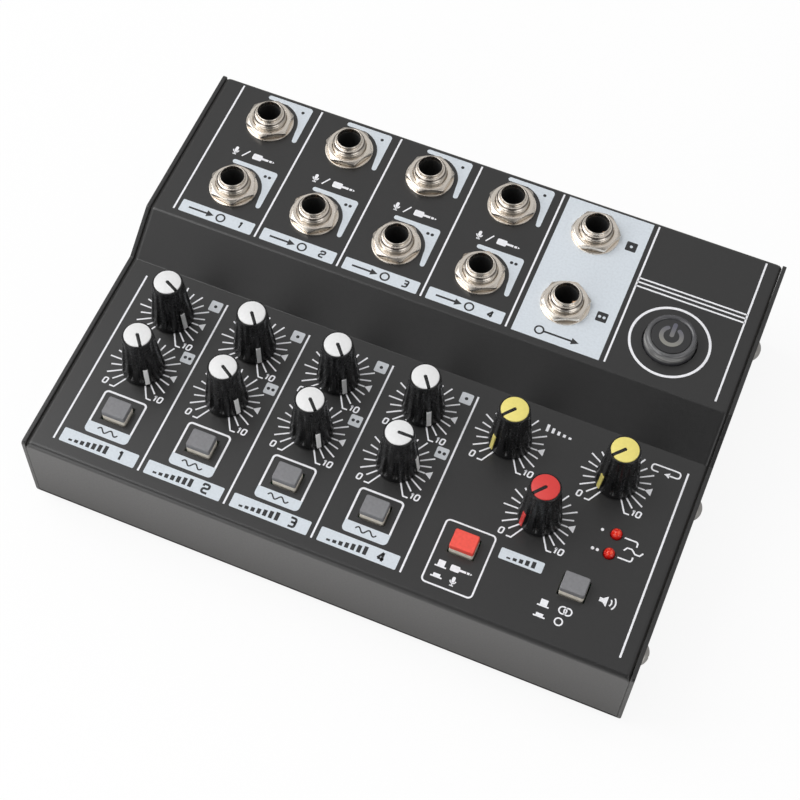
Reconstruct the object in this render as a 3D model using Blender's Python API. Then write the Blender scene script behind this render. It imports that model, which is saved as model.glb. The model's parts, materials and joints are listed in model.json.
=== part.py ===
"""Small desktop mixing console: folded steel case, main board, sockets, knobs and buttons.

Sizes are in metres. X runs to the right, Y to the rear and Z up. The origin lies on the
surface that the console stands on, under the middle of its outline.
"""
import math

import bmesh
import bpy
from mathutils import Matrix, Vector

# Clearances
SEAT = 0.0002             # between faces that rest on each other
SLIDE = 0.0003            # around a piece that slides or turns in a hole
OVERCUT = 0.002           # how far a cutter runs past the face it cuts

# Sheet metal of the case
SHEET = 0.0010            # folded top cover
BASE_SHEET = 0.0010       # base with its side walls
BEND = 0.0006             # inside radius of every fold
SIDE_BEND = 0.0015        # outside radius where a deck turns down into its side flange
CORNER_RADIUS = 0.0010    # rounded corners of the side walls
FLANGE_DEPTH = 0.0115     # side flanges that hang from the decks
CORNER_RELIEF = 0.0028    # slot between a flange and the wall next to it
COVER_GAP = 0.0006        # base plate to the lower edges of the front and rear walls
FRONT_HEIGHT = 0.0278     # lower edge of the front wall to the control deck
SLOPE_RUN = 0.0129        # slope between the decks, along Y
SLOPE_RISE = 0.0090       # slope between the decks, along Z
FOOT_HEIGHT = 0.0030      # surface to the underside of the base

# Layout across the panel
LEFT_MARGIN = 0.0065      # panel edge to the first channel strip
RIGHT_MARGIN = 0.0045     # master section to the panel edge
CHANNELS = 4
CHANNEL_PITCH = 0.0260
MASTER_WIDTH = 0.0620
MASTER_COLUMN_PITCH = 0.0314   # delay and repeat knobs
LED_OFFSET = 0.0053       # lamps, right of the right master column
LED_PITCH = 0.0062

# Layout from the front wall to the rear wall
BUTTON_ROW = 0.0186       # front wall to the push buttons
BUTTON_TO_KNOB = 0.0163   # push buttons to the front row of knobs
KNOB_ROW_PITCH = 0.0188
DECK_BACK_MARGIN = 0.0137      # rear row of knobs to the slope
JACK_FRONT_MARGIN = 0.0160     # slope to the front row of sockets
JACK_ROW_PITCH = 0.0261
JACK_BACK_MARGIN = 0.0114      # rear row of sockets to the rear wall

# Main board
BOARD_DROP = 0.0155       # underside of the control deck to the board
BOARD_THICKNESS = 0.0016
BOARD_EDGE = 0.0040       # board edge to the inside of the case
POT_WIDTH = 0.0096
POT_DEPTH = 0.0110
POT_HEIGHT = 0.0068
POT_COLLAR_RADIUS = 0.0046
COMPONENT_GAP = 0.0006    # top of a pot or switch to the deck above it
SWITCH_WALL = 0.0012      # wall of a switch housing round its plunger

# Knobs
KNOB_HEIGHT = 0.0177      # deck to the rim of the knob
KNOB_LIFT = 0.0004        # deck to the underside of the skirt
KNOB_SKIRT_RADIUS = 0.0062
KNOB_SKIRT_HEIGHT = 0.0021     # plain foot of the knob, up to the flutes
KNOB_FOOT_RADIUS = 0.0058      # ribs at the feet of the flutes
KNOB_TOP_RADIUS = 0.0043
KNOB_RIM = 0.0003         # wall of the knob round its cap
KNOB_RIM_HEIGHT = 0.0007
FLUTES = 12
FLUTE_RISE = 0.0015       # height of a flute's spoon-shaped foot
FLUTE_DEPTH = 0.0008      # just above the foot
FLUTE_HEAD_DEPTH = 0.0001      # under the rim
KEY_WIDTH = 0.0009        # bar across the recess that keeps the cap from turning
POINTER_WIDTH = 0.0013
POINTER_FOOT = 0.0009     # deck to the lower end of the pointer
POINTER_LENGTH = 0.0064
POINTER_PROUD = 0.00020
SHAFT_RADIUS = 0.0030
SHAFT_REACH = 0.0090      # length of shaft inside the pot

# Knob caps
CAP_SEAT_DEPTH = 0.0012   # recess in the knob
CAP_PROUD = 0.0003        # cap above the knob's rim
CAP_EDGE = 0.0003         # rounded edge of the cap

# Push buttons
PLUNGER_WIDTH = 0.0071
PLUNGER_DEPTH = 0.0057
PLUNGER_HEIGHT = 0.0017   # deck to the top of the plunger
PLUNGER_REACH = 0.0030    # length of plunger inside its switch
BUTTON_INSET = 0.0001     # cap inside the outline of its plunger
BUTTON_HEIGHT = 0.0034    # deck to the top of the cap
BUTTON_EDGE = 0.0003
BUTTON_CORNER = 0.0006
BUTTON_TRAVEL = 0.0020
WINDOW_GAP = 0.00035      # plunger to the edge of its window in the deck

# Power button
POWER_RADIUS = 0.0073     # at the top of the button
POWER_FLARE = 0.0003      # how much wider the button is at its skirt
POWER_OFFSET = 0.0004     # button nearer to the front than the front row of sockets
POWER_HEIGHT = 0.0036     # deck to the top of the button
POWER_EDGE = 0.0009
POWER_SKIRT = 0.0030      # length of the button below the deck's top face
POWER_STEM_RADIUS = 0.0030
POWER_TRAVEL = 0.0020
DISC_RADIUS = 0.0056
DISC_THICKNESS = 0.0005

# Quarter-inch sockets and their nuts
BORE_RADIUS = 0.00335
BUSHING_RADIUS = 0.0048
BUSHING_SHOULDER = 0.0044      # deck to the shoulder above the thread
RIM_RADIUS = 0.00385
RIM_HEIGHT = 0.0057            # deck to the end of the bushing
JACK_BODY = 0.0148
JACK_FLOOR = 0.0010
WASHER_RADIUS = 0.0073
WASHER_THICKNESS = 0.0007
NUT_ACROSS_FLATS = 0.0122
NUT_HEIGHT = 0.0021
NUT_CHAMFER = 0.0009

# Lamps, feet, power inlet and screws
LED_RADIUS = 0.0016
LED_PROUD = 0.0018        # deck to the top of the dome
SPACER_RADIUS = 0.0023
FOOT_RADIUS = 0.0060
FOOT_TOE_RADIUS = 0.0052
FOOT_STEM_RADIUS = 0.0019
FOOT_HEAD_RADIUS = 0.0028
FOOT_HEAD_HEIGHT = 0.0016
FOOT_INSET = 0.0140       # foot centre from the outline
INLET_WIDTH = 0.0090
INLET_LENGTH = 0.0132
INLET_HEIGHT = 0.0108
INLET_NOSE_RADIUS = 0.0040
INLET_BORE_RADIUS = 0.0032
INLET_BORE_DEPTH = 0.0100
INLET_PIN_RADIUS = 0.0010
SCREW_HOLE_RADIUS = 0.0016
SCREW_DROP = 0.0080       # screw centre below the deck's top face
SCREW_FROM_FRONT = 0.0113      # first screw behind the front wall
SCREW_FROM_SLOPE = 0.0099      # second screw before the foot of the slope
SCREW_FROM_REAR = 0.0260       # third screw before the rear wall

# Facets round a full turn
FINE_STEPS = 20
STEPS = 14
COARSE_STEPS = 10
FOLD_STEPS = 3
SMOOTH_ANGLE = 40.0       # degrees between faces that shade as one surface

# Knob settings: where each pointer stands, in degrees anticlockwise from +X
VOLUME_SETTINGS_A = (-26.0, -52.0, -49.0, -54.0)
VOLUME_SETTINGS_B = (-52.0, -32.0, -46.0, 0.0)
DELAY_SETTING = 230.0
REPEAT_SETTING = 228.0
MAIN_SETTING = 230.0

# How far each nut was turned when it was tightened, in degrees
NUT_TURNS_A = (34.0, 5.0, 24.0, 55.0, 10.0)
NUT_TURNS_B = (52.0, 40.0, 2.0, 30.0, 22.0)

# Places that follow from the sizes above
CASE_WIDTH = LEFT_MARGIN + CHANNELS * CHANNEL_PITCH + MASTER_WIDTH + RIGHT_MARGIN
FRONT_KNOBS_FROM_WALL = BUTTON_ROW + BUTTON_TO_KNOB
BACK_KNOBS_FROM_WALL = FRONT_KNOBS_FROM_WALL + KNOB_ROW_PITCH
CONTROL_DEPTH = BACK_KNOBS_FROM_WALL + DECK_BACK_MARGIN
FRONT_JACKS_FROM_WALL = CONTROL_DEPTH + SLOPE_RUN + JACK_FRONT_MARGIN
BACK_JACKS_FROM_WALL = FRONT_JACKS_FROM_WALL + JACK_ROW_PITCH
CASE_DEPTH = BACK_JACKS_FROM_WALL + JACK_BACK_MARGIN

FRONT_Y = -CASE_DEPTH / 2
REAR_Y = CASE_DEPTH / 2
BUTTON_Y = FRONT_Y + BUTTON_ROW
FRONT_KNOB_Y = FRONT_Y + FRONT_KNOBS_FROM_WALL
BACK_KNOB_Y = FRONT_Y + BACK_KNOBS_FROM_WALL
FRONT_JACK_Y = FRONT_Y + FRONT_JACKS_FROM_WALL
BACK_JACK_Y = FRONT_Y + BACK_JACKS_FROM_WALL
POWER_Y = FRONT_JACK_Y - POWER_OFFSET

FIRST_COLUMN_X = -CASE_WIDTH / 2 + LEFT_MARGIN + CHANNEL_PITCH / 2
CHANNEL_X = [FIRST_COLUMN_X + CHANNEL_PITCH * i for i in range(CHANNELS)]
MASTER_LEFT_X = FIRST_COLUMN_X + CHANNEL_PITCH * CHANNELS
MASTER_RIGHT_X = MASTER_LEFT_X + MASTER_COLUMN_PITCH
MASTER_MID_X = (MASTER_LEFT_X + MASTER_RIGHT_X) / 2

BASE_TOP_Z = FOOT_HEIGHT + BASE_SHEET
COVER_LOW_Z = BASE_TOP_Z + COVER_GAP
DECK_Z = COVER_LOW_Z + FRONT_HEIGHT
JACK_DECK_Z = DECK_Z + SLOPE_RISE
BOARD_TOP_Z = DECK_Z - SHEET - BOARD_DROP
COMPONENT_TOP_Z = DECK_Z - SHEET - COMPONENT_GAP
INLET_Z = BOARD_TOP_Z + SEAT + INLET_HEIGHT / 2


def clear_scene():
    for leftover in list(bpy.data.objects):
        bpy.data.objects.remove(leftover, do_unlink=True)


def make_material(name, colour, roughness, metallic=0.0):
    material = bpy.data.materials.new(name)
    material.use_nodes = True
    shader = material.node_tree.nodes["Principled BSDF"]
    shader.inputs["Base Color"].default_value = (*colour, 1.0)
    shader.inputs["Roughness"].default_value = roughness
    shader.inputs["Metallic"].default_value = metallic
    return material


def make_object(name, mesh, material=None, location=(0.0, 0.0, 0.0), turn=0.0, parent=None):
    """Place a mesh as a named object, turned about Z by an angle in degrees."""
    piece = bpy.data.objects.new(name, mesh)
    bpy.context.scene.collection.objects.link(piece)
    piece.location = location
    piece.rotation_euler = (0.0, 0.0, math.radians(turn))
    piece.parent = parent
    if material is not None:
        mesh.materials.clear()
        mesh.materials.append(material)
    return piece


def finished_mesh(name, shape):
    """Turn a bmesh into a mesh whose faces point outwards."""
    bmesh.ops.remove_doubles(shape, verts=shape.verts, dist=1e-7)
    bmesh.ops.recalc_face_normals(shape, faces=shape.faces)
    mesh = bpy.data.meshes.new(name)
    shape.to_mesh(mesh)
    shape.free()
    return mesh


def merged(*shapes):
    """One bmesh that holds several closed shapes."""
    whole = bmesh.new()
    for shape in shapes:
        part = bpy.data.meshes.new("part")
        bmesh.ops.recalc_face_normals(shape, faces=shape.faces)
        shape.to_mesh(part)
        shape.free()
        whole.from_mesh(part)
        bpy.data.meshes.remove(part)
    return whole


def combined(name, shape, *operations):
    """Mesh of a shape after Boolean operations, each a pair of operation and second shape."""
    body = make_object(name, finished_mesh(name, shape))
    tools = []
    for operation, second in operations:
        tool = make_object(name + "_tool", finished_mesh(name + "_tool", second))
        tool.hide_render = True
        tool.display_type = "WIRE"
        tools.append(tool)
        modifier = body.modifiers.new(operation.lower(), "BOOLEAN")
        modifier.operation = operation
        modifier.solver = "EXACT"
        modifier.object = tool
    bpy.context.view_layer.update()
    evaluated = body.evaluated_get(bpy.context.evaluated_depsgraph_get())
    mesh = bpy.data.meshes.new_from_object(evaluated)
    mesh.name = name
    for done in [body, *tools]:
        bpy.data.objects.remove(done, do_unlink=True)
    return mesh


def round_off(mesh):
    mesh.shade_smooth()
    mesh.set_sharp_from_angle(angle=math.radians(SMOOTH_ANGLE))
    return mesh


def revolve(profile, steps, centre=(0.0, 0.0)):
    """Solid turned about a vertical axis from (radius, height) points, axis to axis."""
    shape = bmesh.new()
    verts = [shape.verts.new((radius, 0.0, height)) for radius, height in profile]
    edges = [shape.edges.new(pair) for pair in zip(verts, verts[1:])]
    bmesh.ops.spin(shape, geom=verts + edges, cent=(0, 0, 0), axis=(0, 0, 1),
                   angle=2 * math.pi, steps=steps, use_merge=True)
    bmesh.ops.remove_doubles(shape, verts=shape.verts, dist=1e-7)
    bmesh.ops.recalc_face_normals(shape, faces=shape.faces)
    bmesh.ops.translate(shape, verts=shape.verts, vec=(centre[0], centre[1], 0.0))
    return shape


def loft(sections):
    """Closed solid through outlines that have the same number of points."""
    shape = bmesh.new()
    rings = [[shape.verts.new(point) for point in section] for section in sections]
    for ring, following in zip(rings, rings[1:]):
        for i in range(len(ring)):
            j = (i + 1) % len(ring)
            shape.faces.new((ring[i], ring[j], following[j], following[i]))
    shape.faces.new(rings[0])
    shape.faces.new(rings[-1])
    bmesh.ops.recalc_face_normals(shape, faces=shape.faces)
    return shape


def block(low, high):
    """Box between two corners."""
    shape = bmesh.new()
    bmesh.ops.create_cube(shape, size=1.0)
    low, high = Vector(low), Vector(high)
    bmesh.ops.scale(shape, vec=high - low, verts=shape.verts)
    bmesh.ops.translate(shape, vec=(low + high) / 2, verts=shape.verts)
    return shape


def rod(radius, low_z, high_z, steps, centre=(0.0, 0.0)):
    return revolve([(0.0, low_z), (radius, low_z), (radius, high_z), (0.0, high_z)], steps, centre)


def rod_along(axis, radius, start, end, cross, steps):
    """Round rod along X or Y; cross holds its two other coordinates in axis order."""
    shape = rod(radius, start, end, steps)
    if axis == "X":
        turn = Matrix.Rotation(math.radians(90.0), 4, "Y")
        place = Matrix.Translation((0.0, cross[0], cross[1]))
    else:
        turn = Matrix.Rotation(math.radians(-90.0), 4, "X")
        place = Matrix.Translation((cross[0], 0.0, cross[1]))
    bmesh.ops.transform(shape, matrix=place @ turn, verts=shape.verts)
    return shape


def shifted(corners, distance):
    """Open path moved to its right by a distance, with its corners kept sharp."""
    lines = []
    for start, end in zip(corners, corners[1:]):
        along = (end - start).normalized()
        right = Vector((along.y, -along.x))
        lines.append((start + right * distance, along))
    path = [lines[0][0]]
    for (point, along), (other, other_along) in zip(lines, lines[1:]):
        cross = along.x * other_along.y - along.y * other_along.x
        gap = other - point
        reach = (gap.x * other_along.y - gap.y * other_along.x) / cross
        path.append(point + along * reach)
    last_point, last_along = lines[-1]
    path.append(last_point + last_along * (corners[-1] - corners[-2]).length)
    path[-1].y = corners[-1].y
    return path


def rounded(corners, right_radius, left_radius, steps=FOLD_STEPS):
    """Open path with arcs at its inner corners, one radius for right turns, one for left."""
    path = [corners[0]]
    for before, corner, after in zip(corners, corners[1:], corners[2:]):
        arriving = (corner - before).normalized()
        leaving = (after - corner).normalized()
        turn = math.atan2(arriving.x * leaving.y - arriving.y * leaving.x, arriving.dot(leaving))
        radius = left_radius if turn > 0 else right_radius
        run = radius * math.tan(abs(turn) / 2)
        start = corner - arriving * run
        side = math.copysign(1.0, turn)
        centre = start + Vector((-arriving.y, arriving.x)) * radius * side
        for k in range(steps + 1):
            angle = turn * k / steps
            arm = start - centre
            swung = Vector((arm.x * math.cos(angle) - arm.y * math.sin(angle),
                            arm.x * math.sin(angle) + arm.y * math.cos(angle)))
            path.append(centre + swung)
    path.append(corners[-1])
    return path


def case_corners(low_z, drop=0.0, inset=0.0):
    """Side view of the case as (y, z) corners, from the front wall's foot to the rear wall's."""
    slope_foot = FRONT_Y + CONTROL_DEPTH
    return [Vector((FRONT_Y + inset, low_z)),
            Vector((FRONT_Y + inset, DECK_Z - drop)),
            Vector((slope_foot, DECK_Z - drop)),
            Vector((slope_foot + SLOPE_RUN, JACK_DECK_Z - drop)),
            Vector((REAR_Y - inset, JACK_DECK_Z - drop)),
            Vector((REAR_Y - inset, low_z))]


def across(outline, x):
    """Points of a (y, z) outline at one place along X."""
    return [(x, point.x, point.y) for point in outline]


def screw_places():
    """The (y, z) of the three screws on each side, on the flanges under the decks."""
    slope_foot = FRONT_Y + CONTROL_DEPTH
    return [(FRONT_Y + SCREW_FROM_FRONT, DECK_Z - SCREW_DROP),
            (slope_foot - SCREW_FROM_SLOPE, DECK_Z - SCREW_DROP),
            (REAR_Y - SCREW_FROM_REAR, JACK_DECK_Z - SCREW_DROP)]


def knob_places():
    """Name, position and pointer setting of each rotary control."""
    places = []
    for i, x in enumerate(CHANNEL_X):
        places.append((f"volume_{i + 1}a", (x, BACK_KNOB_Y), VOLUME_SETTINGS_A[i]))
        places.append((f"volume_{i + 1}b", (x, FRONT_KNOB_Y), VOLUME_SETTINGS_B[i]))
    places.append(("delay", (MASTER_LEFT_X, BACK_KNOB_Y), DELAY_SETTING))
    places.append(("repeat", (MASTER_RIGHT_X, BACK_KNOB_Y), REPEAT_SETTING))
    places.append(("main", (MASTER_MID_X, FRONT_KNOB_Y), MAIN_SETTING))
    return places


def button_places():
    places = [(f"effects_button_{i + 1}", (x, BUTTON_Y)) for i, x in enumerate(CHANNEL_X)]
    places.append(("input_button", (MASTER_LEFT_X, BUTTON_Y)))
    places.append(("stereo_button", (MASTER_RIGHT_X, BUTTON_Y)))
    return places


def jack_places():
    """Name, position and nut angle of each socket."""
    columns = [(f"input_{i + 1}", x) for i, x in enumerate(CHANNEL_X)]
    columns.append(("main_", MASTER_LEFT_X))
    places = []
    for (name, x), turn_a, turn_b in zip(columns, NUT_TURNS_A, NUT_TURNS_B):
        places.append((f"{name}a", (x, BACK_JACK_Y), turn_a))
        places.append((f"{name}b", (x, FRONT_JACK_Y), turn_b))
    return places


def led_places():
    x = MASTER_RIGHT_X + LED_OFFSET
    return [("clip_led_a", (x, FRONT_KNOB_Y + LED_PITCH / 2)),
            ("clip_led_b", (x, FRONT_KNOB_Y - LED_PITCH / 2))]


def foot_places():
    x = CASE_WIDTH / 2 - FOOT_INSET
    y = CASE_DEPTH / 2 - FOOT_INSET
    return [("foot_front_left", (-x, -y)), ("foot_front_right", (x, -y)),
            ("foot_rear_left", (-x, y)), ("foot_rear_right", (x, y))]


def top_cover_mesh():
    """Front wall, two decks, slope and rear wall folded from one sheet, with side flanges."""
    half = CASE_WIDTH / 2
    bend = []
    for k in range(FOLD_STEPS + 1):
        angle = math.pi / 2 * k / FOLD_STEPS
        bend.append((half - SIDE_BEND * (1 - math.sin(angle)), SIDE_BEND * (1 - math.cos(angle))))
    folded = [(x, rounded(case_corners(COVER_LOW_Z, drop), BEND + SHEET, BEND)) for x, drop in bend]
    sections = [across(outline, -x) for x, outline in reversed(folded)]
    sections += [across(outline, x) for x, outline in folded]
    outside = loft(sections)

    inner = rounded(shifted(case_corners(COVER_LOW_Z - OVERCUT), SHEET), BEND, BEND + SHEET)
    hollow = loft([across(inner, -half + SHEET), across(inner, half - SHEET)])

    wall_end = BEND + SHEET
    under_flange = case_corners(COVER_LOW_Z - OVERCUT, FLANGE_DEPTH, wall_end)
    side_cut = loft([across(under_flange, -half - OVERCUT), across(under_flange, half + OVERCUT)])

    reliefs = []
    for side in (-1, 1):
        xs = sorted((side * (half - SHEET - SEAT), side * (half + OVERCUT)))
        for y, top in ((FRONT_Y + wall_end, DECK_Z), (REAR_Y - wall_end - CORNER_RELIEF, JACK_DECK_Z)):
            reliefs.append(block((xs[0], y, top - FLANGE_DEPTH - OVERCUT),
                                 (xs[1], y + CORNER_RELIEF, top - SHEET + SEAT)))

    low, high = DECK_Z - SHEET - OVERCUT, DECK_Z + OVERCUT
    holes = [rod(SHAFT_RADIUS + 2 * SLIDE, low, high, COARSE_STEPS, place) for _, place, _ in knob_places()]
    holes += [rod(LED_RADIUS + SEAT, low, high, COARSE_STEPS, place) for _, place in led_places()]
    window_x = PLUNGER_WIDTH / 2 + WINDOW_GAP
    window_y = PLUNGER_DEPTH / 2 + WINDOW_GAP
    for _, (x, y) in button_places():
        holes.append(block((x - window_x, y - window_y, low), (x + window_x, y + window_y, high)))
    low, high = low + SLOPE_RISE, high + SLOPE_RISE
    holes += [rod(BUSHING_RADIUS + SLIDE, low, high, STEPS, place) for _, place, _ in jack_places()]
    holes.append(rod(POWER_RADIUS + POWER_FLARE + SLIDE, low, high, FINE_STEPS, (MASTER_RIGHT_X, POWER_Y)))
    holes.append(rod_along("Y", INLET_NOSE_RADIUS + SLIDE, REAR_Y - SHEET - OVERCUT, REAR_Y + OVERCUT,
                           (MASTER_RIGHT_X, INLET_Z), STEPS))
    for cross in screw_places():
        for side in (-1, 1):
            ends = sorted((side * (half - SHEET - OVERCUT), side * (half + OVERCUT)))
            holes.append(rod_along("X", SCREW_HOLE_RADIUS, *ends, cross, COARSE_STEPS))
    return combined("top_cover", outside, ("DIFFERENCE", hollow), ("DIFFERENCE", side_cut),
                    ("DIFFERENCE", merged(*reliefs)), ("DIFFERENCE", merged(*holes)))


def base_chassis_mesh():
    """Bottom plate and two side walls folded as a channel, its walls cut to the case's side view."""
    wall_x = CASE_WIDTH / 2 + SEAT + BASE_SHEET
    above = JACK_DECK_Z + OVERCUT
    corners = [Vector((wall_x, above)), Vector((wall_x, FOOT_HEIGHT)),
               Vector((-wall_x, FOOT_HEIGHT)), Vector((-wall_x, above))]
    outer = rounded(corners, BEND + BASE_SHEET, BEND)
    inner = rounded(shifted(corners, BASE_SHEET), BEND / 2, BEND)
    channel_outline = outer + inner[::-1]
    channel = loft([[(p.x, y, p.y) for p in channel_outline]
                    for y in (FRONT_Y - OVERCUT, REAR_Y + OVERCUT)])

    under = Vector((0.0, FOOT_HEIGHT))
    side_view = [under, *case_corners(FOOT_HEIGHT), under]
    outline = rounded(side_view, CORNER_RADIUS, BEND)[1:]
    walls = loft([across(outline, -wall_x - OVERCUT), across(outline, wall_x + OVERCUT)])

    holes = []
    for cross in screw_places():
        for side in (-1, 1):
            ends = sorted((side * (wall_x - BASE_SHEET - OVERCUT), side * (wall_x + OVERCUT)))
            holes.append(rod_along("X", SCREW_HOLE_RADIUS, *ends, cross, COARSE_STEPS))
    for _, place in foot_places():
        holes.append(rod(FOOT_STEM_RADIUS + SEAT, FOOT_HEIGHT - OVERCUT, BASE_TOP_Z + OVERCUT,
                         COARSE_STEPS, place))
    return combined("base_chassis", channel, ("INTERSECT", walls), ("DIFFERENCE", merged(*holes)))


def main_board_mesh():
    """Circuit board with the pots and switches that are soldered to it."""
    edge_x = CASE_WIDTH / 2 - SHEET - BOARD_EDGE
    board = block((-edge_x, FRONT_Y + SHEET + BOARD_EDGE, BOARD_TOP_Z - BOARD_THICKNESS),
                  (edge_x, REAR_Y - SHEET - BOARD_EDGE, BOARD_TOP_Z))
    sunk = BOARD_TOP_Z - BOARD_THICKNESS / 2
    pots, collars, bores = [], [], []
    for _, (x, y), _ in knob_places():
        pots.append(block((x - POT_WIDTH / 2, y - POT_DEPTH / 2, sunk),
                          (x + POT_WIDTH / 2, y + POT_DEPTH / 2, BOARD_TOP_Z + POT_HEIGHT)))
        collars.append(rod(POT_COLLAR_RADIUS, BOARD_TOP_Z + POT_HEIGHT / 2, COMPONENT_TOP_Z,
                           COARSE_STEPS, (x, y)))
        bores.append(rod(SHAFT_RADIUS + SLIDE, DECK_Z - SHEET - SHAFT_REACH - SLIDE,
                         COMPONENT_TOP_Z + OVERCUT, COARSE_STEPS, (x, y)))
    pocket_x = PLUNGER_WIDTH / 2 + SLIDE
    pocket_y = PLUNGER_DEPTH / 2 + SLIDE
    pocket_low = COMPONENT_TOP_Z - PLUNGER_REACH - BUTTON_TRAVEL - SLIDE
    for _, (x, y) in button_places():
        pots.append(block((x - pocket_x - SWITCH_WALL, y - pocket_y - SWITCH_WALL, sunk),
                          (x + pocket_x + SWITCH_WALL, y + pocket_y + SWITCH_WALL, COMPONENT_TOP_Z)))
        bores.append(block((x - pocket_x, y - pocket_y, pocket_low),
                           (x + pocket_x, y + pocket_y, COMPONENT_TOP_Z + OVERCUT)))
    x, y = MASTER_RIGHT_X, POWER_Y
    switch_top = JACK_DECK_Z - POWER_SKIRT - POWER_TRAVEL - SLIDE
    pots.append(block((x - POWER_RADIUS, y - POWER_RADIUS, sunk),
                      (x + POWER_RADIUS, y + POWER_RADIUS, switch_top)))
    bores.append(rod(POWER_STEM_RADIUS + SLIDE,
                     switch_top - PLUNGER_REACH - POWER_TRAVEL - SLIDE,
                     switch_top + OVERCUT, STEPS, (x, y)))
    return combined("main_board", board, ("UNION", merged(*pots)), ("UNION", merged(*collars)),
                    ("DIFFERENCE", merged(*bores)))


def knob_mesh():
    """Tapered knob on its shaft, with straight flutes that run out in spoon-shaped feet.

    The pointer and the key for the cap lie along +X, and heights are from the deck.
    """
    rim_radius = KNOB_TOP_RADIUS
    cap_radius = rim_radius - KNOB_RIM
    flute_foot = KNOB_LIFT + KNOB_SKIRT_HEIGHT
    flute_head = KNOB_HEIGHT - KNOB_RIM_HEIGHT
    cap_seat = KNOB_HEIGHT - CAP_SEAT_DEPTH
    lean = (KNOB_FOOT_RADIUS - rim_radius) / (flute_head - flute_foot)

    def rib_radius(height):
        return KNOB_FOOT_RADIUS - lean * (height - flute_foot)

    flute_start = flute_foot + FLUTE_RISE
    rings = [(KNOB_SKIRT_RADIUS, 0.0, KNOB_LIFT), (KNOB_FOOT_RADIUS, 0.0, flute_foot),
             (rib_radius(flute_start), FLUTE_DEPTH, flute_start),
             (rim_radius, FLUTE_HEAD_DEPTH, flute_head), (rim_radius, 0.0, KNOB_HEIGHT),
             (cap_radius, 0.0, KNOB_HEIGHT), (cap_radius, 0.0, cap_seat)]
    points = 2 * FLUTES
    sections = []
    for radius, groove, height in rings:
        section = []
        for i in range(points):
            angle = 2 * math.pi * i / points
            reach = radius - groove * (i % 2)
            section.append((reach * math.cos(angle), reach * math.sin(angle), height))
        sections.append(section)
    body = loft(sections)

    high = POINTER_FOOT + POINTER_LENGTH
    profile = [(KNOB_TOP_RADIUS / 2, POINTER_FOOT), (KNOB_SKIRT_RADIUS + POINTER_PROUD, POINTER_FOOT),
               (rib_radius(high) + POINTER_PROUD, high), (KNOB_TOP_RADIUS / 2, high)]
    pointer = loft([[(x, y, z) for x, z in profile] for y in (-POINTER_WIDTH / 2, POINTER_WIDTH / 2)])
    key = block((0.0, -KEY_WIDTH / 2, cap_seat - KNOB_RIM_HEIGHT),
                (cap_radius + KNOB_RIM / 2, KEY_WIDTH / 2, KNOB_HEIGHT))
    shaft = rod(SHAFT_RADIUS, -SHEET - SHAFT_REACH, flute_foot, COARSE_STEPS)
    return round_off(combined("knob", body, ("UNION", pointer), ("UNION", key), ("UNION", shaft)))


def cap_mesh():
    """Coloured disc pressed into the knob's top, slotted from its middle to its edge for the key."""
    radius = KNOB_TOP_RADIUS - KNOB_RIM - SEAT
    low = KNOB_HEIGHT - CAP_SEAT_DEPTH + SEAT
    high = KNOB_HEIGHT + CAP_PROUD
    disc = revolve([(0.0, low), (radius, low), (radius, high - CAP_EDGE), (radius - CAP_EDGE, high),
                    (0.0, high)], STEPS)
    half = KEY_WIDTH / 2 + SEAT
    outline = [(half * math.cos(angle), half * math.sin(angle))
               for angle in (math.radians(90 + 180 * k / FOLD_STEPS) for k in range(FOLD_STEPS + 1))]
    outline += [(radius + OVERCUT, -half), (radius + OVERCUT, half)]
    slot = loft([[(x, y, z) for x, y in outline] for z in (low - OVERCUT, high + OVERCUT)])
    return round_off(combined("cap", disc, ("DIFFERENCE", slot)))


def rounded_rectangle(half_x, half_y, radius, z):
    """Ring of points round a rectangle with two-step rounded corners."""
    ring = []
    for quarter in range(4):
        middle_x = (half_x - radius) * (1 if quarter in (0, 3) else -1)
        middle_y = (half_y - radius) * (1 if quarter in (0, 1) else -1)
        for k in range(3):
            angle = math.radians(90 * quarter + 45 * k)
            ring.append((middle_x + radius * math.cos(angle), middle_y + radius * math.sin(angle), z))
    return ring


def button_mesh():
    """Push button: a bevelled cap on a slightly larger plunger, heights from the deck."""
    half_x, half_y = PLUNGER_WIDTH / 2, PLUNGER_DEPTH / 2
    cap_x, cap_y = half_x - BUTTON_INSET, half_y - BUTTON_INSET
    low = -SHEET - COMPONENT_GAP - PLUNGER_REACH
    levels = [(half_x, half_y, low), (half_x, half_y, PLUNGER_HEIGHT), (cap_x, cap_y, PLUNGER_HEIGHT),
              (cap_x, cap_y, BUTTON_HEIGHT - BUTTON_EDGE),
              (cap_x - BUTTON_EDGE, cap_y - BUTTON_EDGE, BUTTON_HEIGHT)]
    sections = [rounded_rectangle(x, y, BUTTON_CORNER, z) for x, y, z in levels]
    return round_off(finished_mesh("button", loft(sections)))


def power_button_mesh():
    """Round translucent button with a recess for its disc and a stem into the switch."""
    low = -POWER_SKIRT
    recess = POWER_HEIGHT - DISC_THICKNESS
    profile = [(0.0, low - PLUNGER_REACH), (POWER_STEM_RADIUS, low - PLUNGER_REACH),
               (POWER_STEM_RADIUS, low), (POWER_RADIUS + POWER_FLARE, low), (POWER_RADIUS + POWER_FLARE, 0.0)]
    for k in range(FOLD_STEPS + 1):
        angle = math.pi / 2 * k / FOLD_STEPS
        profile.append((POWER_RADIUS - POWER_EDGE * (1 - math.cos(angle)),
                        POWER_HEIGHT - POWER_EDGE * (1 - math.sin(angle))))
    profile += [(DISC_RADIUS + SEAT, POWER_HEIGHT), (DISC_RADIUS + SEAT, recess), (0.0, recess)]
    return round_off(finished_mesh("power_button", revolve(profile, FINE_STEPS)))


def power_disc_mesh():
    low = POWER_HEIGHT - DISC_THICKNESS + SEAT
    return round_off(finished_mesh("power_disc", rod(DISC_RADIUS, low, POWER_HEIGHT, FINE_STEPS)))


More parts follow.
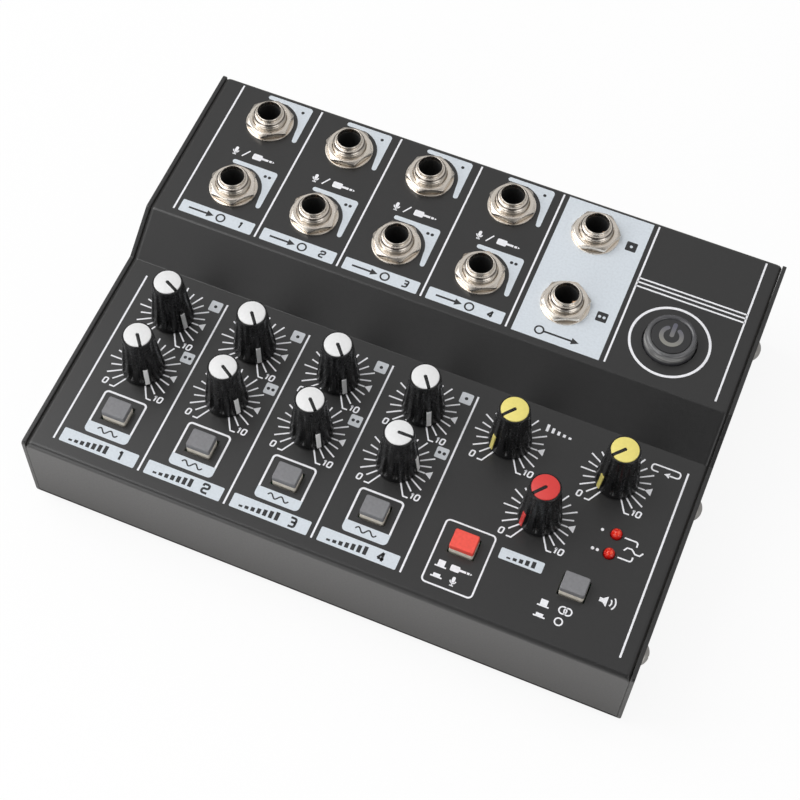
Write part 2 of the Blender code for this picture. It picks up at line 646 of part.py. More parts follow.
def jack_mesh():
    """Socket: plastic body on the board and a stepped metal bushing, heights from the jack deck."""
    half = JACK_BODY / 2
    low = BOARD_TOP_Z + SEAT - JACK_DECK_Z
    shoulder = -SHEET - SEAT
    body = block((-half, -half, low), (half, half, shoulder))
    step = (BUSHING_RADIUS - RIM_RADIUS) / 2
    bushing = revolve([(0.0, shoulder - OVERCUT), (BUSHING_RADIUS, shoulder - OVERCUT),
                       (BUSHING_RADIUS, BUSHING_SHOULDER - step),
                       (BUSHING_RADIUS - step, BUSHING_SHOULDER), (RIM_RADIUS, BUSHING_SHOULDER),
                       (RIM_RADIUS, RIM_HEIGHT), (0.0, RIM_HEIGHT)], STEPS)
    bore = rod(BORE_RADIUS, low + JACK_FLOOR, RIM_HEIGHT + OVERCUT, STEPS)
    return round_off(combined("jack", body, ("UNION", bushing), ("DIFFERENCE", bore)))


def nut_mesh():
    """Hexagon nut with chamfered corners and its washer, heights from the jack deck."""
    low = SEAT
    washer_top = low + WASHER_THICKNESS
    high = washer_top + NUT_HEIGHT
    corner = NUT_ACROSS_FLATS / math.sqrt(3)
    hexagon = [(corner * math.cos(math.radians(60 * k)), corner * math.sin(math.radians(60 * k)))
               for k in range(6)]
    prism = loft([[(x, y, z) for x, y in hexagon] for z in (washer_top - WASHER_THICKNESS / 2, high)])
    flat_radius = NUT_ACROSS_FLATS / 2
    crown = revolve([(0.0, low), (corner + NUT_CHAMFER, low), (corner + NUT_CHAMFER, high - NUT_CHAMFER),
                     (flat_radius, high), (0.0, high)], 2 * len(hexagon))
    washer = rod(WASHER_RADIUS, low, washer_top, FINE_STEPS)
    bore = rod(BUSHING_RADIUS + SEAT, low - OVERCUT, high + OVERCUT, STEPS)
    return combined("nut", prism, ("INTERSECT", crown), ("UNION", washer), ("DIFFERENCE", bore))


def led_mesh():
    """Lamp with a domed end on its spacer, heights from the control deck."""
    low = BOARD_TOP_Z + SEAT - DECK_Z
    under = -SHEET - SEAT
    profile = [(0.0, low), (SPACER_RADIUS, low), (SPACER_RADIUS, under), (LED_RADIUS, under)]
    for k in range(FOLD_STEPS):
        angle = math.pi / 2 * k / FOLD_STEPS
        profile.append((LED_RADIUS * math.cos(angle), LED_PROUD - LED_RADIUS * (1 - math.sin(angle))))
    profile.append((0.0, LED_PROUD))
    return round_off(finished_mesh("led", revolve(profile, COARSE_STEPS)))


def foot_mesh():
    """Push-in rubber foot: a tapered pad, a stem through the base and a head above it."""
    under = FOOT_HEIGHT - SEAT
    above = BASE_TOP_Z + SEAT
    profile = [(0.0, 0.0), (FOOT_TOE_RADIUS, 0.0), (FOOT_RADIUS, under), (FOOT_STEM_RADIUS, under),
               (FOOT_STEM_RADIUS, above), (FOOT_HEAD_RADIUS, above),
               (FOOT_STEM_RADIUS, above + FOOT_HEAD_HEIGHT), (0.0, above + FOOT_HEAD_HEIGHT)]
    return round_off(finished_mesh("foot", revolve(profile, COARSE_STEPS)))


def power_inlet_mesh():
    """Barrel power inlet on the board, its nose flush with the rear wall."""
    low = BOARD_TOP_Z + SEAT
    face = REAR_Y - SHEET - SEAT
    x = MASTER_RIGHT_X
    body = block((x - INLET_WIDTH / 2, face - INLET_LENGTH, low),
                 (x + INLET_WIDTH / 2, face, low + INLET_HEIGHT))
    cross = (x, INLET_Z)
    nose = rod_along("Y", INLET_NOSE_RADIUS, face - OVERCUT, REAR_Y, cross, STEPS)
    bore = rod_along("Y", INLET_BORE_RADIUS, REAR_Y - INLET_BORE_DEPTH, REAR_Y + OVERCUT, cross, STEPS)
    pin = rod_along("Y", INLET_PIN_RADIUS, REAR_Y - INLET_BORE_DEPTH - OVERCUT, REAR_Y - OVERCUT, cross,
                    COARSE_STEPS)
    return combined("power_inlet", body, ("UNION", nose), ("DIFFERENCE", bore), ("UNION", pin))


clear_scene()

steel_black = make_material("steel_black", (0.045, 0.045, 0.047), 0.45)
board_green = make_material("board_green", (0.03, 0.16, 0.07), 0.55)
nickel = make_material("nickel", (0.72, 0.66, 0.58), 0.25, 1.0)
knob_black = make_material("knob_black", (0.012, 0.012, 0.013), 0.30)
cap_white = make_material("cap_white", (0.86, 0.86, 0.86), 0.40)
cap_yellow = make_material("cap_yellow", (0.85, 0.72, 0.20), 0.40)
cap_red = make_material("cap_red", (0.70, 0.06, 0.05), 0.40)
button_grey = make_material("button_grey", (0.22, 0.22, 0.23), 0.45)
button_red = make_material("button_red", (0.80, 0.08, 0.06), 0.40)
lens_smoke = make_material("lens_smoke", (0.06, 0.06, 0.065), 0.20)
lamp_red = make_material("lamp_red", (0.75, 0.03, 0.02), 0.15)
rubber_black = make_material("rubber_black", (0.02, 0.02, 0.02), 0.85)
plastic_black = make_material("plastic_black", (0.02, 0.02, 0.02), 0.50)

make_object("top_cover", top_cover_mesh(), steel_black)
make_object("base_chassis", base_chassis_mesh(), steel_black)
make_object("main_board", main_board_mesh(), board_green)
make_object("power_inlet", power_inlet_mesh(), plastic_black)

knob, cap = knob_mesh(), cap_mesh()
cap_colours = {"delay": cap_yellow, "repeat": cap_yellow, "main": cap_red}
for name, (x, y), setting in knob_places():
    turned = make_object(f"{name}_knob", knob.copy(), knob_black, (x, y, DECK_Z), setting)
    make_object(f"{name}_cap", cap.copy(), cap_colours.get(name, cap_white), parent=turned)

button = button_mesh()
for name, (x, y) in button_places():
    colour = button_red if name == "input_button" else button_grey
    make_object(name, button.copy(), colour, (x, y, DECK_Z))

power = make_object("power_button", power_button_mesh(), lens_smoke,
                    (MASTER_RIGHT_X, POWER_Y, JACK_DECK_Z))
make_object("power_disc", power_disc_mesh(), plastic_black, parent=power)

jack, nut = jack_mesh(), nut_mesh()
for name, (x, y), turn in jack_places():
    make_object(f"{name}_jack", jack.copy(), nickel, (x, y, JACK_DECK_Z))
    make_object(f"{name}_nut", nut.copy(), nickel, (x, y, JACK_DECK_Z), turn)

led = led_mesh()
for name, (x, y) in led_places():
    make_object(name, led.copy(), lamp_red, (x, y, DECK_Z))

foot = foot_mesh()
for name, (x, y) in foot_places():
    make_object(name, foot.copy(), rubber_black, (x, y, 0.0))

bpy.context.view_layer.update()
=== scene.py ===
"""Looks of a small desktop mixing console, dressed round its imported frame.

Metres, with X to the right, Y to the rear and Z up from the surface that the console stands on.
The sections follow the console as it is put together, from its base to the light it is seen in.
"""
import json
import math

import bmesh
import bpy
from mathutils import Matrix, Vector


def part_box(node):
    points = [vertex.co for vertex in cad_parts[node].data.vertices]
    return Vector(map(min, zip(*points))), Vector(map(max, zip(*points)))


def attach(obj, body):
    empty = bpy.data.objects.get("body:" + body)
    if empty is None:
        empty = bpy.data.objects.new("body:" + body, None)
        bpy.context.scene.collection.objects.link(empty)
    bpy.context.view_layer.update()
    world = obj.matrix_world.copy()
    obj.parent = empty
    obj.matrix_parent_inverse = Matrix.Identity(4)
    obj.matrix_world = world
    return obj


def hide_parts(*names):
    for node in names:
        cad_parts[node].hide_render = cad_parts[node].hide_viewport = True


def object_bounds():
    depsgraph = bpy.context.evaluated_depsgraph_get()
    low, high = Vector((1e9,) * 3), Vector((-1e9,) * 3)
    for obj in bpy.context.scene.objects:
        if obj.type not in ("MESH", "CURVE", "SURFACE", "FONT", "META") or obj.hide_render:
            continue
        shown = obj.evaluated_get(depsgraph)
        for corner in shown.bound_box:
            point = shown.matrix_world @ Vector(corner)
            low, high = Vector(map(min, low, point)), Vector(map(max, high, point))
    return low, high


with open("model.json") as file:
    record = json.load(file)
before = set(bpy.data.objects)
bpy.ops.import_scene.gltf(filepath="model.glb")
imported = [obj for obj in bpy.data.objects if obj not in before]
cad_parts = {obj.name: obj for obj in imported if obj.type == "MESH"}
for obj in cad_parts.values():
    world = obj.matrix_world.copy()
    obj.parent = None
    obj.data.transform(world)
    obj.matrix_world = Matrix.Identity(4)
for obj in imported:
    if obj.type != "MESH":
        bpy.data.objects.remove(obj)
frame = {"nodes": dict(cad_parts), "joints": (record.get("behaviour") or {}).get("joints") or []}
cad_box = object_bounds()

# Base
# The base is one blank of 1 mm sheet steel, punched and folded into a channel: a bottom plate and two
# stepped side walls that close over the cover's flanges. It is powder-coated satin black before assembly.
MM = 0.001
SHEET = 1.0 * MM
SHEET_EDGE = 0.12 * MM        # the coating rounds every cut edge
COAT_TAKE_UP = 0.15 * MM      # the coating fills the slack between walls and flanges
FOLD_ANGLE = math.radians(38)
PAINT_BLACK = (0.0115, 0.0115, 0.0119)
PAINT_BLACK_THIN = (0.0131, 0.0130, 0.0132)


def finish_of(name, colour, roughness, sockets=()):
    """Principled material whose even values sit on the shader's own sockets."""
    finish = bpy.data.materials.new(name)
    finish.use_nodes = True
    shader = finish.node_tree.nodes["Principled BSDF"]
    shader.inputs["Base Color"].default_value = (*colour, 1.0)
    shader.inputs["Roughness"].default_value = roughness
    for socket, value in dict(sockets).items():
        shader.inputs[socket].default_value = value
    return finish


def grain(finish, scale, detail=3.0):
    """Noise over the piece's own coordinates, in features per metre."""
    tree = finish.node_tree
    place = tree.nodes.new("ShaderNodeTexCoord")
    noise = tree.nodes.new("ShaderNodeTexNoise")
    noise.inputs["Scale"].default_value = scale
    noise.inputs["Detail"].default_value = detail
    tree.links.new(place.outputs["Object"], noise.inputs["Vector"])
    return noise.outputs["Fac"]


def spread(finish, factor, low, high, bottom=0.0, top=1.0):
    """Maps a factor from one range to another."""
    tree = finish.node_tree
    stretch = tree.nodes.new("ShaderNodeMapRange")
    for socket, value in zip(("From Min", "From Max", "To Min", "To Max"), (low, high, bottom, top)):
        stretch.inputs[socket].default_value = value
    tree.links.new(factor, stretch.inputs["Value"])
    return stretch.outputs["Result"]


def shade_between(finish, factor, dark, light):
    """Lets a factor move the base colour between two colours."""
    tree = finish.node_tree
    blend = tree.nodes.new("ShaderNodeMix")
    blend.data_type = "RGBA"
    blend.inputs["A"].default_value = (*dark, 1.0)
    blend.inputs["B"].default_value = (*light, 1.0)
    tree.links.new(factor, blend.inputs["Factor"])
    tree.links.new(blend.outputs["Result"], tree.nodes["Principled BSDF"].inputs["Base Color"])


def roughen(finish, factor, low, high):
    """Lets a factor move the roughness between two values."""
    tree = finish.node_tree
    tree.links.new(spread(finish, factor, 0.3, 0.7, low, high),
                   tree.nodes["Principled BSDF"].inputs["Roughness"])


def emboss(finish, factor, height):
    """Raises the surface by a factor, on top of what is raised already."""
    tree = finish.node_tree
    normal = tree.nodes["Principled BSDF"].inputs["Normal"]
    bump = tree.nodes.new("ShaderNodeBump")
    bump.inputs["Distance"].default_value = height
    tree.links.new(factor, bump.inputs["Height"])
    if normal.is_linked:
        tree.links.new(normal.links[0].from_socket, bump.inputs["Normal"])
    tree.links.new(bump.outputs["Normal"], normal)


powder_coat = finish_of("powder_coat", PAINT_BLACK, 0.35,
                        {"Specular IOR Level": 0.7, "Sheen Weight": 0.2, "Sheen Roughness": 0.5,
                         "Sheen Tint": (1.0, 0.96, 0.92, 1.0)})
shade_between(powder_coat, spread(powder_coat, grain(powder_coat, 900.0), 0.35, 0.7),
              PAINT_BLACK, PAINT_BLACK_THIN)
roughen(powder_coat, grain(powder_coat, 1600.0), 0.31, 0.39)
emboss(powder_coat, grain(powder_coat, 2600.0, 2.0), 0.000015)


def ride_on(piece, body, nodes=()):
    """Lets a piece move with a body and stand for the frame's own nodes."""
    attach(piece, body)
    if nodes:
        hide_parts(*nodes)
    return piece


def sheet_piece(name, node, take_up=0.0):
    """A folded sheet of the frame with whole faces, rounded cut edges and even shading."""
    shape = bmesh.new()
    shape.from_mesh(frame["nodes"][node].data)
    bmesh.ops.remove_doubles(shape, verts=shape.verts, dist=1e-6)
    inner_wall = cad_box[1].x - SHEET
    for vert in shape.verts:
        if abs(abs(vert.co.x) - inner_wall) < 0.01 * MM:
            vert.co.x -= math.copysign(take_up, vert.co.x)
    bmesh.ops.dissolve_limit(shape, angle_limit=math.radians(1), verts=shape.verts, edges=shape.edges)
    mesh = bpy.data.meshes.new(name)
    shape.to_mesh(mesh)
    shape.free()
    mesh.materials.append(powder_coat)
    mesh.shade_smooth()
    piece = bpy.data.objects.new(name, mesh)
    bpy.context.scene.collection.objects.link(piece)
    edge = piece.modifiers.new("coated_edges", "BEVEL")
    edge.width = SHEET_EDGE
    edge.segments = 2
    edge.limit_method = "ANGLE"
    edge.angle_limit = FOLD_ANGLE
    edge.use_clamp_overlap = False
    even = piece.modifiers.new("even_shading", "WEIGHTED_NORMAL")
    even.keep_sharp = True
    return ride_on(piece, "console", [node])


sheet_piece("base_sheet", "base_chassis", COAT_TAKE_UP)

# Feet
# Four push-in feet of black rubber: a tapered pad with a ring groove underneath, and a stem with a barbed head
# that is pulled through a hole in the base.
RUBBER = (0.016, 0.016, 0.017)
TURN_STEPS = 64


def turned(profile, steps=TURN_STEPS):
    """Solid of revolution about Z from (radius, height) points, from axis to axis or closed on itself."""
    shape = bmesh.new()
    loop = [shape.verts.new((radius, 0.0, height)) for radius, height in profile]
    edges = [shape.edges.new(pair) for pair in zip(loop, loop[1:])]
    if profile[0][0] > 0.0:
        edges.append(shape.edges.new((loop[-1], loop[0])))
    bmesh.ops.spin(shape, geom=loop + edges, cent=(0, 0, 0), axis=(0, 0, 1), angle=2 * math.pi,
                   steps=steps, use_merge=True)
    bmesh.ops.remove_doubles(shape, verts=shape.verts, dist=1e-8)
    return shape


def softened(profile, radius, steps=4):
    """Profile with every inner corner rounded by an arc, as far as its neighbours allow."""
    points = [Vector(point) for point in profile]
    path = [points[0]]
    for before, corner, after in zip(points, points[1:], points[2:]):
        reach = min(radius, (before - corner).length * 0.48, (after - corner).length * 0.48)
        start = corner + (before - corner).normalized() * reach
        end = corner + (after - corner).normalized() * reach
        for k in range(steps + 1):
            t = k / steps
            path.append(start.lerp(corner, t).lerp(corner.lerp(end, t), t))
    path.append(points[-1])
    return [(point.x, point.y) for point in path]


def mesh_of(name, shape, finish, smooth=35.0):
    """Mesh of a shape with outward faces, shaded smooth up to an angle in degrees."""
    bmesh.ops.recalc_face_normals(shape, faces=shape.faces)
    mesh = bpy.data.meshes.new(name)
    shape.to_mesh(mesh)
    shape.free()
    mesh.materials.append(finish)
    mesh.shade_smooth()
    mesh.set_sharp_from_angle(angle=math.radians(smooth))
    return mesh


def put(name, mesh, place=(0.0, 0.0, 0.0), turn=0.0):
    """Object of a mesh at a place, turned about Z by an angle in degrees."""
    piece = bpy.data.objects.new(name, mesh)
    bpy.context.scene.collection.objects.link(piece)
    piece.location = place
    piece.rotation_euler = (0.0, 0.0, math.radians(turn))
    return piece


def middle(node):
    """Middle of a node's box, and its lowest and highest level."""
    low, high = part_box(node)
    return (low.x + high.x) / 2, (low.y + high.y) / 2, low.z, high.z


foot_rubber = finish_of("foot_rubber", RUBBER, 0.8, {"Specular IOR Level": 0.3})
roughen(foot_rubber, grain(foot_rubber, 1800.0), 0.7, 0.9)
emboss(foot_rubber, grain(foot_rubber, 2400.0), 0.00004)
FOOT_TOE = 5.2 * MM
FOOT_PAD = 6.0 * MM
FOOT_STEM = 1.85 * MM
FOOT_BARB = 2.7 * MM
plate_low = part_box("base_chassis")[0].z
for corner in ("front_left", "front_right", "rear_left", "rear_right"):
    x, y, low, high = middle(f"foot_{corner}")
    pad = softened([(0.0, 0.4 * MM), (2.2 * MM, 0.4 * MM), (2.4 * MM, 0.0), (FOOT_TOE, 0.0),
                    (FOOT_PAD, plate_low - 0.2 * MM), (FOOT_STEM, plate_low - 0.2 * MM),
                    (FOOT_STEM, high - 1.6 * MM), (FOOT_BARB, high - 1.6 * MM),
                    (FOOT_STEM, high), (0.0, high)], 0.5 * MM)
    foot = put(f"rubber_foot_{corner}", mesh_of("rubber_foot", turned(pad, 48), foot_rubber), (x, y, 0.0))
    ride_on(foot, "console", [f"foot_{corner}"])

# Main board
# A glass-fibre circuit board under green solder mask, with the pots and switches soldered to it. The sockets
# carry it, and nothing of it shows outside but a dark gleam round the buttons.
solder_mask = finish_of("solder_mask", (0.012, 0.07, 0.03), 0.4)
shade_between(solder_mask, grain(solder_mask, 700.0), (0.010, 0.055, 0.024), (0.016, 0.085, 0.036))
emboss(solder_mask, grain(solder_mask, 1500.0), 0.00002)
frame["nodes"]["main_board"].data.materials.clear()
frame["nodes"]["main_board"].data.materials.append(solder_mask)

# Power inlet
# A barrel socket in black plastic, soldered to the board, with its round nose flush in the rear wall and a
# nickel centre pin at the bottom of its bore.
INLET_NOSE = 4.0 * MM
INLET_BORE = 3.2 * MM
INLET_DEPTH = 10.0 * MM
INLET_PIN = 1.0 * MM
INLET_SUNK = 1.5 * MM
BLACK_PLASTIC = (0.012, 0.012, 0.0125)
NICKEL = (0.97, 0.90, 0.81)
NICKEL_DULL = (0.91, 0.83, 0.74)
moulded_black = finish_of("moulded_black", BLACK_PLASTIC, 0.5)
roughen(moulded_black, grain(moulded_black, 2000.0), 0.42, 0.6)
emboss(moulded_black, grain(moulded_black, 4000.0), 0.00002)
nickel_plate = finish_of("nickel_plate", NICKEL, 0.28, {"Metallic": 1.0})
shade_between(nickel_plate, grain(nickel_plate, 350.0), NICKEL_DULL, NICKEL)
roughen(nickel_plate, grain(nickel_plate, 900.0), 0.25, 0.32)
inlet_low, inlet_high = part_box("power_inlet")
inlet_place = ((inlet_low.x + inlet_high.x) / 2, inlet_high.y, (inlet_low.z + inlet_high.z) / 2)
to_rear = Matrix.Rotation(math.radians(-90), 4, "X")
barrel = turned(softened([(INLET_BORE, -INLET_DEPTH), (INLET_BORE, -0.4 * MM), (INLET_BORE + 0.4 * MM, 0.0),
                          (INLET_NOSE, 0.0), (INLET_NOSE, -3.0 * MM), (INLET_BORE + 0.6 * MM, -3.0 * MM),
                          (INLET_BORE + 0.6 * MM, -INLET_DEPTH)], 0.15 * MM), 48)
floor_disc = turned([(0.0, -INLET_DEPTH), (INLET_BORE + 0.6 * MM, -INLET_DEPTH),
                     (INLET_BORE + 0.6 * MM, -INLET_DEPTH - 1.0 * MM), (0.0, -INLET_DEPTH - 1.0 * MM)], 48)
pin = turned(softened([(0.0, -INLET_DEPTH), (INLET_PIN, -INLET_DEPTH), (INLET_PIN, -INLET_SUNK), (0.0, -INLET_SUNK)],
                      0.5 * MM), 32)
for shape in (barrel, floor_disc, pin):
    bmesh.ops.transform(shape, matrix=to_rear, verts=shape.verts)
nose = put("inlet_nose", mesh_of("inlet_nose", barrel, moulded_black), inlet_place)
ride_on(nose, "console", ["power_inlet"])
ride_on(put("inlet_floor", mesh_of("inlet_floor", floor_disc, moulded_black), inlet_place), "console")
ride_on(put("inlet_pin", mesh_of("inlet_pin", pin, nickel_plate), inlet_place), "console")


def rounded_block(size, edge, segments=3):
    """Box about the origin with rounded edges."""
    shape = bmesh.new()
    bmesh.ops.create_cube(shape, size=1.0)
    bmesh.ops.scale(shape, vec=size, verts=shape.verts)
    bmesh.ops.bevel(shape, geom=shape.edges[:], offset=edge, segments=segments, profile=0.5, affect="EDGES")
    return shape


inlet_size = inlet_high - inlet_low
body_length = inlet_size.y - INLET_DEPTH - 1.0 * MM
housing = put("inlet_housing", mesh_of("inlet_housing", rounded_block(
    (inlet_size.x, body_length, inlet_size.z), 0.3 * MM), moulded_black),
    (inlet_place[0], inlet_low.y + body_length / 2, inlet_place[2]))
ride_on(housing, "console")

# Sockets
# Ten quarter-inch phone sockets: a nickel-plated threaded bushing that narrows to a plain rim, set in a black
# moulded body that is soldered to the board. A springy tip contact glints in the bores of the two outputs.
# darker nickel for the painted shade in the thread's roots
NICKEL_ROOT_SHADE = (0.16, 0.13, 0.11)
BORE = 3.45 * MM
MOUTH = 3.55 * MM
RIM = 3.82 * MM
RIM_TOP = 5.7 * MM            # above the deck, like the other heights
SHOULDER = 4.45 * MM
THREAD = 4.9 * MM
THREAD_CORE = 4.45 * MM
THREAD_TOP = 4.3 * MM
THREAD_LOW = -1.0 * MM
THREAD_PITCH = 1.0 * MM
BUSHING_LOW = -6.0 * MM
CHANNELS = ("1", "2", "3", "4")
SOCKETS = [f"input_{channel}{row}" for channel in CHANNELS for row in "ab"] + ["main_a", "main_b"]


def bridged(rings, closed=False):
    """Solid through rings of points; its ends are filled, or joined to each other."""
    shape = bmesh.new()
    loops = [[shape.verts.new(point) for point in ring] for ring in rings]
    for ring, following in zip(loops, loops[1:] + ([loops[0]] if closed else [])):
        for i in range(len(ring)):
            j = (i + 1) % len(ring)
            shape.faces.new((ring[i], ring[j], following[j], following[i]))
    if not closed:
        shape.faces.new(loops[0])
        shape.faces.new(loops[-1])
    return shape


def round_ring(radius, level, steps=TURN_STEPS):
    """Points of a level circle."""
    turns = [2 * math.pi * i / steps for i in range(steps)]
    return [(radius * math.cos(turn), radius * math.sin(turn), level) for turn in turns]


def square_ring(half, level, steps=TURN_STEPS):
    """Points of a level square, as many as of a circle."""
    ring = []
    for x, y, _ in round_ring(1.0, level, steps):
        reach = half / max(abs(x), abs(y))
        ring.append((x * reach, y * reach, level))
    return ring


def threaded(low, high, rows_per_turn=8):
    """Sleeve with a right-hand thread outside, chamfered at its upper end."""
    depth = THREAD - THREAD_CORE
    rows = round((high - low) / THREAD_PITCH * rows_per_turn)
    rings = []
    for k in range(rows + 1):
        level = low + (high - low) * k / rows
        chamfer = depth * max(0.0, 1 - (high - level) / (0.5 * THREAD_PITCH))
        ring = []
        for i, (x, y, _) in enumerate(round_ring(1.0, level)):
            phase = (level / THREAD_PITCH - i / TURN_STEPS) % 1.0
            reach = THREAD - max(depth * max(0.0, 1 - 2 * abs(2 * phase - 1)), chamfer)
            ring.append((x * reach, y * reach, level))
        rings.append(ring)
    inside = THREAD_CORE - 0.1 * MM
    return bridged(rings + [round_ring(inside, high), round_ring(inside, low)], closed=True)


bushing = softened([(BORE, BUSHING_LOW), (BORE, RIM_TOP - 0.4 * MM), (MOUTH, RIM_TOP), (RIM - 0.12 * MM, RIM_TOP),
                    (RIM, RIM_TOP - 0.2 * MM), (RIM, SHOULDER + 0.2 * MM), (RIM + 0.25 * MM, SHOULDER),
                    (THREAD_CORE - 0.1 * MM, SHOULDER - 0.03 * MM), (THREAD_CORE - 0.02 * MM, THREAD_TOP - 0.1 * MM),
                    (THREAD_CORE - 0.02 * MM, BUSHING_LOW)], 0.12 * MM)
bushing_mesh = mesh_of("socket_bushing", turned(bushing), nickel_plate, 50.0)


def stretched(finish, stretch):
    """The piece's own coordinates, each multiplied by a factor."""
    tree = finish.node_tree
    place = tree.nodes.new("ShaderNodeTexCoord")
    times = tree.nodes.new("ShaderNodeVectorMath")
    times.operation = "MULTIPLY"
    times.inputs[1].default_value = stretch
    tree.links.new(place.outputs["Object"], times.inputs[0])
    return times.outputs["Vector"]


def off_axis(finish):
    """Distance from the piece's upright axis, in metres."""
    length = finish.node_tree.nodes.new("ShaderNodeVectorMath")
    length.operation = "LENGTH"
    finish.node_tree.links.new(stretched(finish, (1.0, 1.0, 0.0)), length.inputs[0])
    return length.outputs["Value"]


thread_nickel = finish_of("thread_nickel", NICKEL, 0.28, {"Metallic": 1.0})
# painted shade: the thread darkens from its crests down into its roots, where shade falls
shade_between(thread_nickel, spread(thread_nickel, off_axis(thread_nickel), THREAD_CORE + 0.1 * MM, THREAD - 0.1 * MM),
              NICKEL_ROOT_SHADE, NICKEL)
thread_mesh = mesh_of("socket_thread", threaded(THREAD_LOW, THREAD_TOP), thread_nickel, 50.0)

socket_black = finish_of("socket_black", (0.03, 0.03, 0.03), 0.6)
roughen(socket_black, grain(socket_black, 1200.0), 0.5, 0.7)
jack_low, jack_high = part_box("input_1a_jack")
jack_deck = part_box("top_cover")[1].z
body_top = -SHEET - 0.3 * MM
body_low = jack_low.z - jack_deck
body_half = (jack_high.x - jack_low.x) / 2
BODY_EDGE = 0.4 * MM
SLEEVE = BORE - 0.06 * MM
SLEEVE_TOP = 4.2 * MM
GROOVE = (BORE - 0.01 * MM, THREAD_CORE + 0.02 * MM)
socket_body = bridged([round_ring(SLEEVE, body_low + 1.0 * MM), round_ring(SLEEVE, SLEEVE_TOP),
                       round_ring(GROOVE[0], SLEEVE_TOP), round_ring(GROOVE[0], BUSHING_LOW - 0.05 * MM),
                       round_ring(GROOVE[1], BUSHING_LOW - 0.05 * MM), round_ring(GROOVE[1], body_top),
                       square_ring(body_half - BODY_EDGE, body_top), square_ring(body_half, body_top - BODY_EDGE),
                       square_ring(body_half, body_low + BODY_EDGE), square_ring(body_half - BODY_EDGE, body_low)])
body_mesh = mesh_of("socket_body", socket_body, socket_black)

contact_bronze = finish_of("contact_bronze", (0.62, 0.40, 0.26), 0.35, {"Metallic": 1.0})
roughen(contact_bronze, grain(contact_bronze, 1500.0), 0.3, 0.42)
SPRING_WIDTH = 1.2 * MM
spring_line = [(BORE - 0.25 * MM, 0.6 * MM), (BORE - 0.9 * MM, 0.45 * MM), (BORE - 1.5 * MM, 0.25 * MM),
               (BORE - 1.7 * MM, -0.4 * MM), (BORE - 1.2 * MM, -2.6 * MM), (BORE - 0.3 * MM, -6.0 * MM)]


def leaf(line, width, thickness):
    """Bent strip of spring metal along (x, z) points, as wide as given along Y."""
    return bridged([[(x, -width / 2, z), (x + thickness, -width / 2, z), (x + thickness, width / 2, z),
                     (x, width / 2, z)] for x, z in line])


spring_mesh = mesh_of("socket_spring", leaf(softened(spring_line, 0.4 * MM), SPRING_WIDTH, 0.2 * MM), contact_bronze)
SPRING_TURN = {"input": -100.0, "main": 25.0}
for name in SOCKETS:
    x, y, _, _ = middle(f"{name}_jack")
    place = (x, y, jack_deck)
    ride_on(put(f"{name}_bushing", bushing_mesh, place), "console", [f"{name}_jack"])
    ride_on(put(f"{name}_thread", thread_mesh, place), "console")
    ride_on(put(f"{name}_body", body_mesh, place), "console")
    spring_turn = SPRING_TURN[name.split("_")[0]]
    ride_on(put(f"{name}_spring", spring_mesh, place, spring_turn), "console")

# Top cover
# One sheet of 1 mm steel, folded along five lines into front wall, control deck, slope, socket deck and rear
# wall, with flanges turned down at the sides. It has the base's satin black coat and is drilled for every control.
cover = sheet_piece("cover_sheet", "top_cover")

# Nuts and washers
# Each socket is clamped to the cover by a plated flat washer and a chamfered hexagon nut, tightened by hand, so
# every nut stands at its own angle.
WASHER_OUTER = 7.2 * MM
WASHER_INNER = 5.0 * MM
WASHER_THICK = 0.45 * MM
NUT_FLAT = 6.35 * MM
NUT_CORNER = 7.25 * MM
NUT_CROWN = 6.25 * MM
NUT_TOP = 2.4 * MM
NUT_HOLE_EDGE = 5.2 * MM
NUT_BEARING = 5.9 * MM       # the nut stands on a narrower face
NUT_GAP = 0.22 * MM
NUT_CHAMFER = math.tan(math.radians(32))
NUT_ANGLES = (-30.0, -28.4, -25.0, -18.0, -9.0, 0.0, 9.0, 18.0, 25.0, 28.4)
NUT_TURNS = {"input_1a": 34, "input_1b": 52, "input_2a": 5, "input_2b": 40, "input_3a": 24, "input_3b": 2,
             "input_4a": 55, "input_4b": 30, "main_a": 10, "main_b": 22}

washer_profile = softened([(WASHER_INNER, 0.0), (WASHER_INNER, WASHER_THICK), (WASHER_OUTER, WASHER_THICK),
                           (WASHER_OUTER, 0.0)], 0.16 * MM)
washer_mesh = mesh_of("washer", turned(washer_profile, 96), nickel_plate)


def hexagon_nut():
    """Hexagon nut whose corners are cut by a cone, as one softened profile after another round its axis."""
    profiles = []
    for side in range(6):
        for off_flat in NUT_ANGLES:
            hexed = min(NUT_FLAT / math.cos(math.radians(off_flat)), NUT_CORNER)
            cut = (hexed - NUT_CROWN) * NUT_CHAMFER
            profile = softened([(WASHER_INNER, WASHER_THICK), (WASHER_INNER, NUT_TOP - 0.3 * MM),
                                (NUT_HOLE_EDGE, NUT_TOP), (NUT_CROWN, NUT_TOP), (hexed, NUT_TOP - cut),
                                (hexed, WASHER_THICK + NUT_GAP + 0.35 * cut), (NUT_BEARING, WASHER_THICK + NUT_GAP),
                                (NUT_BEARING, WASHER_THICK)], 0.12 * MM)
            turn = math.radians(30.0 + 60.0 * side + off_flat)
            profiles.append([(radius * math.cos(turn), radius * math.sin(turn), level) for radius, level in profile])
    return bridged(profiles, closed=True)


def even_shading(piece):
    """Keeps wide flat faces flat beside rounded edges."""
    even = piece.modifiers.new("even_shading", "WEIGHTED_NORMAL")
    even.keep_sharp = True
    return piece


nut_mesh = mesh_of("nut", hexagon_nut(), nickel_plate, 60.0)
for name in SOCKETS:
    x, y, _, _ = middle(f"{name}_nut")
    ride_on(put(f"{name}_washer", washer_mesh, (x, y, jack_deck)), "console")
    hexagon = even_shading(put(f"{name}_hexagon", nut_mesh, (x, y, jack_deck), NUT_TURNS[name]))
    ride_on(hexagon, "console", [f"{name}_nut"])

